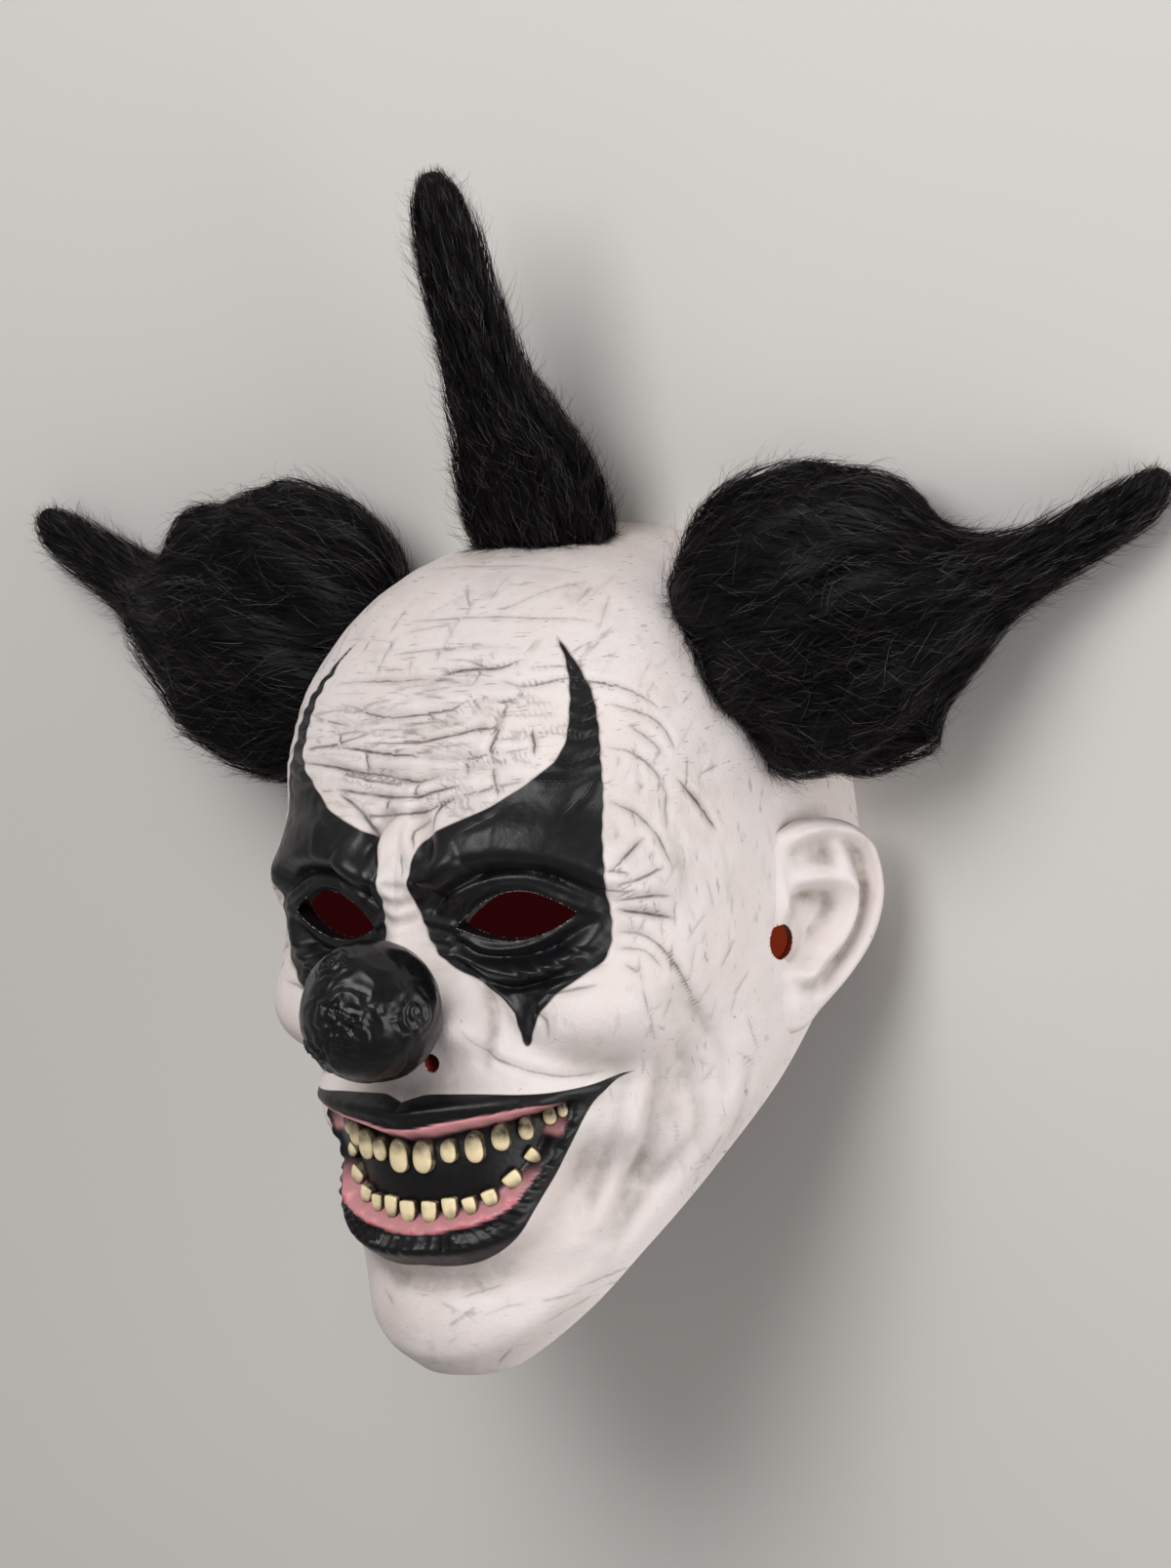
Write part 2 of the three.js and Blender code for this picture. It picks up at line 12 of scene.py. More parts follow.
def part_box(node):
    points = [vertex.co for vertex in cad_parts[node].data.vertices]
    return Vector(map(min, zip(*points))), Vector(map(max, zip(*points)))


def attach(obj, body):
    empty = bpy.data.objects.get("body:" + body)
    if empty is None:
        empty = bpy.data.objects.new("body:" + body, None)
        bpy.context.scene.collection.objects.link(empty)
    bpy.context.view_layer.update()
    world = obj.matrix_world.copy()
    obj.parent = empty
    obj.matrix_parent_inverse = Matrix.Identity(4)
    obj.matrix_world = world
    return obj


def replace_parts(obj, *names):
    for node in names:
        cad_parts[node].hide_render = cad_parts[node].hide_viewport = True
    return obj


bl_info = {
    "name": "Clown mask",
    "version": (1, 0, 0),
    "blender": (4, 5, 0),
    "location": "View3D > Sidebar > Mask",
    "description": "Makes the painted latex skin, teeth, ears and fur tufts of a clown mask",
    "category": "Object",
}

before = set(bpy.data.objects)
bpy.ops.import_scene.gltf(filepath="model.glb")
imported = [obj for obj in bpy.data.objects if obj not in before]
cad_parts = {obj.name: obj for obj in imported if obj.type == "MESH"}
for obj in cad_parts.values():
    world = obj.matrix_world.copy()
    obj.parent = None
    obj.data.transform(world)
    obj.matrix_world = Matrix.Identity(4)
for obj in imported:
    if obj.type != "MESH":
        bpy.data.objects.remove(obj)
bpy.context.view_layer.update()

MM = 0.001
CROWN_Y = 101.0
CHIN_Y = -151.0
# The crown's edge is the shell's furthest point along +Y, which ties face heights to the frame.
FACE_ORIGIN = np.array([0.0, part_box("mask_shell")[1].y - CROWN_Y * MM, 0.0])
BODY = "root"


def linear(code):
    """Linear colour of an sRGB hex value."""
    parts = [int(code[i:i + 2], 16) / 255 for i in (1, 3, 5)]
    return tuple(c / 12.92 if c <= 0.04045 else ((c + 0.055) / 1.055) ** 2.4 for c in parts)


def colour(name, code, description):
    return FloatVectorProperty(name=name, description=description, subtype="COLOR", size=3,
                               min=0, max=1, default=linear(code))


def length(name, millimetres, description):
    return FloatProperty(name=name, description=description, unit="LENGTH", precision=5,
                         min=0, default=millimetres * MM)


class MaskSizes(bpy.types.PropertyGroup):
    """Sizes of the latex parts."""
    wall: length("Wall", 3.0, "Thickness of the latex skin")
    nose_radius: length("Nose radius", 21.3, "Radius of the nose ball")
    crease_depth: FloatProperty(name="Crease depth", description="Strength of the finer creases",
                                min=0, max=3, default=1.0)
    mouth_depth: length("Mouth depth", 6.0, "How deep the mouth is sunk behind the lips")
    upper_tooth: length("Upper tooth", 10.8, "Height of the middle upper teeth")
    lower_tooth: length("Lower tooth", 8.2, "Height of the middle lower teeth")
    spokes: IntProperty(name="Spokes", description="Grid lines round the face", min=60, default=430)
    rings: IntProperty(name="Rings", description="Grid lines from the nose to the rim", min=30, default=190)


class MaskColours(bpy.types.PropertyGroup):
    """Colours of the paint, the latex and the teeth."""
    skin: colour("Skin", "#E8DFDD", "Off-white paint of the face")
    skin_warm: colour("Warm skin", "#DFCFC8", "Warmer patches of the face paint")
    # The wash colour is grey wash along the creases and painted shade where they lie deep, and it marks the scuffs.
    wash_and_shade: colour("Wash", "#7A726E", "Grey wash left beside the creases")
    # The crease colour is a painted shade line along the bottom of each fine crease, and the dark mark of each scuff.
    crease_shade: colour("Crease", "#675E5B", "Darker wash in the bottom of the creases")
    # The dirt colour paints smudges and flecks, and painted shade in the hollows of the skin and ears.
    dirt_and_shade: colour("Dirt", "#9A8F86", "Brown-grey smudges")
    black: colour("Black paint", "#121013", "Black paint of the eye patches and nose")
    ball: colour("Nose ball", "#09090B", "Satin black of the nose ball")
    thin_black: colour("Thin black", "#26242A", "Black paint where it lies thin")
    paint_edge: colour("Paint edge", "#5E4F4A", "Brown-grey bleed round the eye patches")
    lip: colour("Lip paint", "#0F0C0D", "Brown-black paint of the lips")
    gum: colour("Gum", "#FFB2B8", "Pink paint of the gums")
    gum_edge: colour("Gum edge", "#B8404F", "Deeper red along the lower lip")
    lining: colour("Lining", "#7E2A16", "Red-brown latex of the inside")
    # The tooth root colour darkens each tooth towards its root and the mouth's corners, and paints shade along its rim.
    tooth: colour("Tooth", "#FBE8BC", "Cream paint of the teeth")
    tooth_root: colour("Tooth root", "#41372C", "Brown-grey paint at the roots")


class FurSettings(bpy.types.PropertyGroup):
    """Strands of the fur tufts."""
    strands: IntProperty(name="Strands", description="Combed strands on a side tuft", min=0, default=4000)
    grey_hairs: IntProperty(name="Grey hairs", description="Wavy grey hairs on a side tuft", min=0, default=3600)
    strays: IntProperty(name="Strays", description="Frizzy hairs round a side tuft", min=0, default=3200)
    strand_length: length("Strand length", 20.0, "Length of a combed strand")
    thickness: length("Strand thickness", 0.42, "Thickness of a combed strand, drawn coarse enough to show")
    fur: colour("Fur", "#030203", "Black of the fur")
    tip: colour("Fur tip", "#3A2F30", "Brownish ends of the hairs")
    # Grey hairs are partly grey fibres and partly painted glints: lighter hairs that stand in for highlights on the
    # fur.
    glint: colour("Grey hair", "#8C8788", "Colour of the few grey hairs")
    seed: IntProperty(name="Seed", description="Start of the random draws", default=11)


class StageSettings(bpy.types.PropertyGroup):
    """Camera, floor and lights."""
    azimuth: FloatProperty(name="Azimuth", description="Camera's turn towards the wearer's left",
                           subtype="ANGLE", default=math.radians(33.0))
    elevation: FloatProperty(name="Elevation", description="Camera's rise towards the crown",
                             subtype="ANGLE", default=math.radians(9.5))
    roll: FloatProperty(name="Roll", description="Camera's roll", subtype="ANGLE", default=math.radians(6.5))
    distance: length("Distance", 1900.0, "From the camera to the middle of the face")
    floor: colour("Floor", "#DAD7D3", "Colour of the studio floor")
    # Both card colours glow whatever light falls on them: the dark red is painted shade of the inside seen through the
    # eyes, the brick red painted light seen through the ear opening.
    card: colour("Card", "#270506", "Dark red of the cards under the eye openings")
    ear_card: colour("Ear card", "#6C2413", "Brick red of the card under the ear opening")
    light: FloatProperty(name="Light", description="Strength of all the lights", min=0, default=1.0)


# The head: level sections are boxy ellipses between a front outline and a side profile.
FRONT_OUTLINE = [(CROWN_Y, 0), (97.5, 34), (89, 53), (75, 68), (55, 79), (30, 84.5), (0, 85.5), (-30, 85.5),
                 (-63, 83), (-90, 76), (-110, 68), (-128, 58), (-141, 46), (CHIN_Y, 0)]
SIDE_PROFILE = [(CROWN_Y, 0), (99.8, 42), (96.5, 59), (90, 74), (79, 89), (62, 105), (40, 117), (15, 121),
                (-10, 121), (-35, 124), (-60, 127), (-85, 128), (-108, 130), (-124, 134), (-138, 132),
                (-146, 114), (CHIN_Y, 0)]
FOREHEAD_POWER = 2.8
CHEEK_POWER = 2.6
CHIN_POWER = 2.2
HUB = np.array([0.0, -15.0, 0.0])
JAW_ANGLE = math.radians(45)
FORWARD = np.array([0.0, 0.0, 1.0])
SEARCH_STEPS = 26

NOSE_CENTRE = np.array([0.0, -22.3, 151.7])
NOSE_NECK_RADIUS = 9.0
EYE_INNER = (14.8, -2.8)
EYE_OUTER = (51.2, -0.5)
EYE_RISE = 9.0
EYE_DROP = 6.2
NOSTRIL = [(8.8, -51, 146), (6.5, -31.5, 122)]
NOSTRIL_RADIUS = 2.6
EAR_HOLE = [(92, -24, 54), (66, -22, 40)]
EAR_HOLE_RADIUS = 5.4

MOUTH_CORNER = (44.8, -57.1)
UPPER_LIP_EDGE = [(0, -61.5), (5.9, -60.9), (13.1, -59.2), (23.3, -57.6), (34.1, -56)]
LOWER_LIP_EDGE = [(0, -94), (8.7, -93.2), (17.8, -90.6), (24.8, -86.3), (30, -79.8), (36.8, -71.3)]
UPPER_LIP_OUTER = [(0, -54.2), (3.7, -53.1), (7.4, -52.2), (14.7, -52), (24, -52.1), (32.9, -52.6), (40.5, -53),
                   (47.6, -53.3), (54.2, -53), (60, -51.8)]
LOWER_LIP_OUTER = [(60, -51.8), (54.4, -54.7), (49.2, -58.6), (44.2, -65.2), (37.6, -76.9), (33.6, -82.6),
                   (30, -88.2), (26.8, -93.8), (23.8, -97.8), (20, -101.3), (15.3, -103.9), (10.3, -105.1),
                   (5, -105.3), (0, -104.9)]
# The teeth of one side: place across and along the face, width, height and lean in degrees.
UPPER_TEETH = [(3.9, -70.1, 7.2, 10.8, 0), (11.1, -68.5, 5.9, 7.8, 0), (17.7, -67.8, 6.8, 9.6, 0),
               (24.5, -65.4, 6.4, 8.6, 0), (31, -63.8, 5.5, 7.8, 0), (37.5, -61.1, 4.9, 6.8, 0), (41, -59.4, 3.5, 5.4, 0)]
LOWER_TEETH = [(3.4, -88.4, 6.7, 8.2, 0), (9.2, -87.2, 6.1, 7.8, 4), (14.6, -86.4, 5.2, 6.4, 8),
               (19.9, -84.5, 6.1, 6.4, 18), (26, -79.4, 7.2, 6.2, 36), (31.6, -72.9, 5.4, 5.2, 46)]

# Black patch round an eye: a spike up the forehead and a point down the cheek.
EYE_PATCH = [(36, 78.5), (39, 75.3), (42.2, 71), (44.8, 66), (46.4, 61), (47.5, 55.5), (47.9, 50.5), (46.6, 46),
             (43.3, 42.3), (38.5, 39), (33, 35.3), (28, 32.5), (22, 29.8), (16, 27.7), (11, 25.5), (7.5, 22.5),
             (6, 18.5), (5.5, 13), (5.8, 7), (6.6, 2), (7.4, -3), (9, -8.5), (11.7, -13.2), (15.5, -16.5),
             (20, -19.5), (24.5, -22.7), (28.7, -26), (31.2, -29.6), (32, -34), (33, -38), (34.2, -39.4),
             (35.4, -37.6), (37.2, -32.5), (39.3, -28.5), (42.5, -24.8), (46, -21.7), (50, -19), (53, -16.8),
             (55, -13.5), (56, -9), (56.4, -2), (55.9, 4), (55.4, 9), (56, 16), (57, 23), (58, 29), (58.2, 35),
             (57.5, 42), (56, 50), (54.2, 56), (51.9, 61.5), (49, 66), (45, 70.6), (40.8, 74.6)]

# Soft swellings and hollows on each side: centre, size each way, height.
SWELLINGS = [
    ((33, 1), (23, 12), -3),  # eye socket
    ((33, 1), (16, 8), 3),  # eyelids
    ((0, -30), (15, 12), 13),  # body of the nose
    ((17, -33), (7.5, 8), 9),  # wing of the nose
    ((0, -74), (40, 33), 15),  # muzzle under the nose
    ((0, -80), (30, 20), 3),  # front of the muzzle
    ((45, -82), (13, 14), -11),  # hollow beside the mouth
    ((54, -54), (13, 12), -7),  # hollow at the corner of the mouth
    ((52, -32), (18, 15), 10),  # cheek
    ((64, -12), (14, 18), 3),  # cheekbone
    ((0, -128), (32, 17), 8),  # chin
    ((70, 34), (18, 20), -2),  # temple
    ((12, 62), (22, 18), 2),  # forehead boss
]
# Ridges and furrows along a line: the line, half width, height at its start, middle and end.
FOLDS = [
    ([(6, 15), (16, 22), (32, 24), (48, 19), (60, 7)], 9, (4, 10, 6)),  # brow
    ([(0, 34), (0, 16), (0, 0), (0, -16)], 8.5, (3, 10, 20)),  # bridge of the nose
    ([(15, -12), (28, -17), (42, -16), (54, -8)], 4, (2, 4, 1)),  # bag under the eye
    ([(13, 4), (24, 11.5), (38, 12.5), (52, 5)], 3, (1, 3, 1)),  # upper lid
    ([(23, -27), (34.5, -37.7), (46, -44.5), (56, -48.5)], 4.5, (-3, -2, -1)),  # fold from the nose
    ([(65, -25), (70.3, -40.3), (67.7, -57.4), (60, -74.8), (51.6, -92), (42.8, -107.4)], 5, (-1, -5, -1)),  # smile fold
    ([(61.5, -55.8), (55.8, -69.4), (49.6, -86), (40.9, -100.7)], 5, (2, 4, 1)),  # roll beside the mouth
    ([(77, -46), (72, -63), (65, -80.5), (56.8, -97.4)], 5.5, (1, 3, 1)),  # roll behind the smile fold
    ([(0, -57.2), (6.3, -56.4), (13.1, -55.6), (25.3, -54.7), (37, -54), (49.4, -54.2)], 3.8, (7, 6, 2)),  # upper lip
    ([(50.3, -56.4), (44, -65.5), (37.4, -77.5), (31, -86.1), (24.2, -93.8), (13.5, -98.8), (0, -99.7)], 4.8,
     (2, 3.5, 8.5)),  # lower lip
    ([(0, -63.3), (13.3, -61.2), (27.8, -58.8), (38.8, -57)], 2.4, (3, 3, 1.5)),  # upper gum
    ([(0, -91.8), (10.2, -91), (19.4, -88), (26.2, -83.8), (32, -77)], 2.6, (3, 3, 1)),  # lower gum
    ([(0, -111.8), (14, -110.8), (25, -105.4)], 4, (-3, -2, 0)),  # crease above the chin
    ([(0, 42), (18, 45), (34, 41)], 3.4, (-2.2, -2, 0)),  # forehead furrows
    ([(0, 55), (20, 57), (38, 52)], 3.4, (-2.2, -2, 0)),
    ([(0, 68), (18, 69), (34, 65)], 3.4, (-2, -1.6, 0)),
    ([(3.5, 33), (9, 26), (12, 17)], 2.4, (-1, -3, -1)),  # frown furrow
]
# Finer folds of the lids and bags, which only the looks carry.
LID_FOLDS = [
    ([(15, -2), (33, 0), (51, -1)], 9, (2, 2.4, 2.6)),  # fullness of the lids
    ([(11.5, 9), (16, 13), (23, 16.5)], 6.5, (4, 7, 1)),  # lump of the brow beside the nose
    ([(30, 25), (43, 22.5), (55, 14)], 8, (-1, -3, -1)),  # flatter outer brow
    ([(14.5, -2.5), (19, 3.6), (25, 7.9), (32, 9.4), (39, 8.2), (46, 3.6), (53, -0.5)], 1.3, (0.6, 1.9, 1)),  # lid rim
    ([(9, 4), (16, 9.5), (24, 13), (33, 14.2), (42, 12.4), (50, 7.5), (57, 2)], 1.5, (-1.5, -3.8, -1.2)),  # lid crease
    ([(7, 13), (14, 17), (24, 19), (36, 19), (48, 15.5), (58, 8)], 3.4, (3.2, 2.6, 1)),  # lower roll of the brow
    ([(15, -5), (22, -9), (31, -10), (40, -7.8), (49, -2.5)], 1.2, (0.5, 1.7, 0.6)),  # lower rim
    ([(13, -6), (20, -11.5), (31, -13), (42, -11), (52, -4)], 1.1, (-1, -2.1, -0.6)),  # crease below it
    ([(16, -11), (25, -16), (35, -17), (46, -13), (54, -6)], 2.6, (0.6, 1.8, 0.8)),  # bag
    ([(12, -10), (19, -17), (28, -21.5), (38, -21), (48, -16)], 1.4, (-0.8, -2.4, -0.6)),  # crease under the bag
    ([(38, -12), (46, -16.5)], 0.9, (-0.5, -1.3, -0.3)),  # wrinkles across the bag
    ([(34, -14), (43, -19)], 0.9, (-0.5, -1.2, -0.3)),
    ([(43, -9.5), (51.5, -13)], 0.9, (-0.5, -1.2, -0.3)),
    ([(29, -15), (37, -20)], 0.9, (-0.4, -1, -0.3)),
    ([(22, -20), (29, -26), (33, -34)], 1.5, (0.4, 1.6, 0.4)),  # folds to the patch's lower point
    ([(46, -20), (39, -26), (35.5, -36)], 1.5, (0.4, 1.4, 0.4)),
    ([(6.5, 1), (11, -1), (15, -2.8)], 1.2, (0.2, 1.5, 0.4)),  # folds at the inner corner
    ([(7.5, -5), (11.5, -6), (15.5, -7)], 1.1, (0.2, 1.3, 0.4)),
    ([(9, -10), (13, -11), (17, -12.5)], 1.1, (0.2, 1.2, 0.3)),
    ([(19, -18), (23, -26), (24.5, -35), (22, -43)], 2, (-1, -3, -2)),  # crease round the nose wing
]


def round_curve(points):
    """A curve through (place, size) points that leaves its two ends square to the axis."""
    points = sorted(points)
    at = np.array([p[0] for p in points], float)
    square = np.array([p[1] for p in points], float) ** 2
    step = np.diff(at)
    slope = np.diff(square) / step
    tangent = np.zeros(len(at))
    tangent[0], tangent[-1] = slope[0], slope[-1]
    for i in range(1, len(slope)):
        if slope[i - 1] * slope[i] > 0:
            before, after = 2 * step[i] + step[i - 1], step[i] + 2 * step[i - 1]
            tangent[i] = (before + after) / (before / slope[i - 1] + after / slope[i])

    def curve(place):
        p = np.clip(place, at[0], at[-1])
        i = np.clip(np.searchsorted(at, p, side="right") - 1, 0, len(step) - 1)
        h = step[i]
        t = (p - at[i]) / h
        value = ((1 + 2 * t) * (1 - t) ** 2 * square[i] + t * (1 - t) ** 2 * h * tangent[i]
                 + t * t * (3 - 2 * t) * square[i + 1] + t * t * (t - 1) * h * tangent[i + 1])
        return np.sqrt(np.maximum(value, 0))
    return curve


half_width = round_curve(FRONT_OUTLINE)
front_depth = round_curve(SIDE_PROFILE)


def smoothstep(x, low, high):
    t = np.clip((x - low) / (high - low), 0, 1)
    return t * t * (3 - 2 * t)


def bell(x):
    return np.exp(-np.square(x))


def head_level(p):
    """1 on the plain head, less inside it."""
    x, y, z = p[..., 0], p[..., 1], p[..., 2]
    power = (CHEEK_POWER + (FOREHEAD_POWER - CHEEK_POWER) * smoothstep(y, 10, 40)
             + (CHIN_POWER - CHEEK_POWER) * smoothstep(-y, 35, 85))
    across = np.minimum(np.abs(x) / np.maximum(half_width(y), 1e-3), 1e3)
    forward = np.minimum(np.maximum(z, 0) / np.maximum(front_depth(y), 1e-3), 1e3)
    level = (across ** power + forward ** power) ** (1 / power)
    return np.where((y >= CROWN_Y) | (y <= CHIN_Y), 9.0, level)


def leave_head(start, direction):
    """The points where straight lines from inside the head leave the plain head."""
    direction = np.broadcast_to(direction, np.broadcast_shapes(np.shape(start), np.shape(direction)))
    near = np.zeros(direction.shape[:-1])
    far = np.full(direction.shape[:-1], CROWN_Y - CHIN_Y)
    for _ in range(SEARCH_STEPS):
        middle = (near + far) / 2
        inside = head_level(start + direction * middle[..., None]) < 1
        near = np.where(inside, middle, near)
        far = np.where(inside, far, middle)
    return start + direction * near[..., None]


def head_normal(p):
    """Outward directions of the plain head."""
    nudge = 0.2
    grad = np.zeros_like(p)
    for axis in range(3):
        step = np.zeros(3)
        step[axis] = nudge
        grad[..., axis] = np.minimum(head_level(p + step), 2) - np.minimum(head_level(p - step), 2)
    return grad / np.linalg.norm(grad, axis=-1, keepdims=True)


def on_face(line):
    """Points of the plain head seen from the front at (x, y)."""
    line = np.asarray(line, float)
    start = np.column_stack([line, np.zeros(len(line))])
    return leave_head(start, FORWARD)


def spoke(angle, share):
    """Directions at an angle about +Z and a share of the way from the middle of the face to the rim."""
    down = np.maximum(-np.sin(angle), 0)
    tilt = np.arctan2(1, down * math.tan(JAW_ANGLE)) * share
    return np.stack([np.sin(tilt) * np.cos(angle), np.sin(tilt) * np.sin(angle), np.cos(tilt)], -1)


def spoke_angles(count):
    """Spokes stand a little closer together below, where the mouth is."""
    crowding = 0.1
    turn = np.arange(count) / count * 2 * math.pi
    return turn - math.pi / 2 - crowding * np.sin(turn)


def smooth_line(points, count):
    """count + 1 points on a smooth curve through the given ones."""
    p = np.asarray(points, float)
    place = np.linspace(0, len(p) - 1, count + 1)
    i = np.minimum(place.astype(int), len(p) - 2)
    t = (place - i)[:, None]
    before, a, b, after = p[np.maximum(i - 1, 0)], p[i], p[i + 1], p[np.minimum(i + 2, len(p) - 1)]
    da, db = (b - before) / 2, (after - a) / 2
    return (2 * a - 2 * b + da + db) * t ** 3 + (-3 * a + 3 * b - 2 * da - db) * t ** 2 + da * t + a


def nearest_on_line(points, line):
    """Distance from each point to an open line, and how far along the line that is, from 0 to 1."""
    best = np.full(len(points), np.inf)
    share = np.zeros(len(points))
    for i in range(len(line) - 1):
        run = line[i + 1] - line[i]
        away = points - line[i]
        t = np.clip(away @ run / (run @ run), 0, 1)
        distance = np.linalg.norm(away - t[:, None] * run, axis=1)
        closer = distance < best
        best = np.where(closer, distance, best)
        share = np.where(closer, (i + t) / (len(line) - 1), share)
    return best, share


def inside_distance(points, outline):
    """Distance inside a closed outline, negative outside it."""
    closed = np.vstack([outline, outline[:1]])
    distance, _ = nearest_on_line(points, closed)
    x, y = points[:, 0], points[:, 1]
    within = np.zeros(len(points), bool)
    for a, b in zip(closed[:-1], closed[1:]):
        if a[1] == b[1]:
            continue
        crosses = (a[1] > y) != (b[1] > y)
        within ^= crosses & (x < (b[0] - a[0]) * (y - a[1]) / (b[1] - a[1]) + a[0])
    return np.where(within, distance, -distance)


def both_sides(half):
    """A closed outline from its half on the wearer's left, given from the top middle to the bottom middle."""
    return np.vstack([half, (half[1:-1] * (-1, 1))[::-1]])


# The ribs of the lower lip: how far apart at its corner, how much they widen to its middle, and how high.
RIB_PITCH = 3.2
RIB_WIDENING = 0.18
RIB_HEIGHT = 1.5

MOUTH = both_sides(np.vstack([smooth_line([*UPPER_LIP_EDGE, MOUTH_CORNER], 20),
                              smooth_line([MOUTH_CORNER, *LOWER_LIP_EDGE[::-1]], 26)[1:]]))
LIPS = both_sides(np.vstack([smooth_line(UPPER_LIP_OUTER, 30), smooth_line(LOWER_LIP_OUTER, 36)[1:]]))
PATCH = smooth_line([*EYE_PATCH, EYE_PATCH[0]], 110)[:-1]


def fold_height(points, folds):
    """Height that a list of folds gives at points seen from the front, alike on both sides."""
    mirrored = np.column_stack([np.abs(points[:, 0]), points[:, 1]])
    height = np.zeros(len(points))
    for line, width, (start, middle, end) in folds:
        distance, s = nearest_on_line(mirrored, smooth_line(line, 20))
        tall = start * (1 - s) * (1 - 2 * s) + middle * 4 * s * (1 - s) + end * s * (2 * s - 1)
        height += tall * bell(distance / width)
    return height


def relief(points, mouth_depth):
    """How far the surface stands off the plain head, at points seen from the front."""
    x, y = np.abs(points[:, 0]), points[:, 1]
    height = fold_height(points, FOLDS)
    for (cx, cy), (sx, sy), by in SWELLINGS:
        height += by * bell((y - cy) / sy) * np.maximum(bell((x - cx) / sx), bell((x + cx) / sx))
    return height - mouth_depth * smoothstep(inside_distance(points, MOUTH), -0.5, 4)


def away_from_rim(share):
    return 1 - smoothstep(share, 0.9, 1)


def add_mesh(name, points, faces, material):
    """An object from points in face millimetres."""
    mesh = bpy.data.meshes.new(name)
    mesh.from_pydata((points * MM + FACE_ORIGIN).tolist(), [], faces)
    mesh.polygons.foreach_set("use_smooth", [True] * len(mesh.polygons))
    mesh.materials.append(material)
    piece = bpy.data.objects.new(name, mesh)
    bpy.context.scene.collection.objects.link(piece)
    return piece


def store(piece, name, values):
    attribute = piece.data.attributes.new(name, "FLOAT", "POINT")
    attribute.data.foreach_set("value", np.asarray(values, np.float32))


def ring_faces(rings, count, first, start):
    """Quads between rings of points; first is the middle point before them and start their first index."""
    at = start + np.arange(rings * count).reshape(rings, count)
    a, b = at[:-1], at[1:]
    quads = np.stack([a, b, np.roll(b, -1, 1), np.roll(a, -1, 1)], -1).reshape(-1, 4)
    fan = np.column_stack([np.full(count, first), at[0], np.roll(at[0], -1)])
    return fan.tolist() + quads.tolist()


def cap_fan(ring, tip):
    """Triangles from the last ring to the point behind it."""
    return [[tip, int(b), int(a)] for a, b in zip(ring, np.roll(ring, -1))]


def blur(grid, reach):
    """Mean over nearby grid points, round the spokes and along the rings."""
    total = sum(np.roll(grid, k, 1) for k in range(-reach, reach + 1)) / (2 * reach + 1)
    padded = np.pad(total, ((reach, reach), (0, 0)), mode="edge")
    return sum(padded[k:k + len(grid)] for k in range(2 * reach + 1)) / (2 * reach + 1)


def node(tree, kind, links=None, outputs=None, **settings):
    """Adds a node; settings are its properties, links its inputs by name or number."""
    made = tree.nodes.new(kind)
    for key, value in settings.items():
        setattr(made, key, value)
    for key, value in (links or {}).items():
        socket = made.inputs[key]
        if isinstance(value, bpy.types.NodeSocket):
            tree.links.new(value, socket)
        else:
            socket.default_value = value
    return made.outputs[outputs or 0] if made.outputs else None


def new_material(name):
    material = bpy.data.materials.new(name)
    material.use_nodes = True
    material.node_tree.nodes.clear()
    return material, material.node_tree


def finish_material(tree, shader):
    node(tree, "ShaderNodeOutputMaterial", {"Surface": shader})


def per_mm(size):
    """Texture scale that makes a pattern's grain about this many millimetres."""
    return 1 / (size * MM)


def rgba(value):
    return (*value, 1)


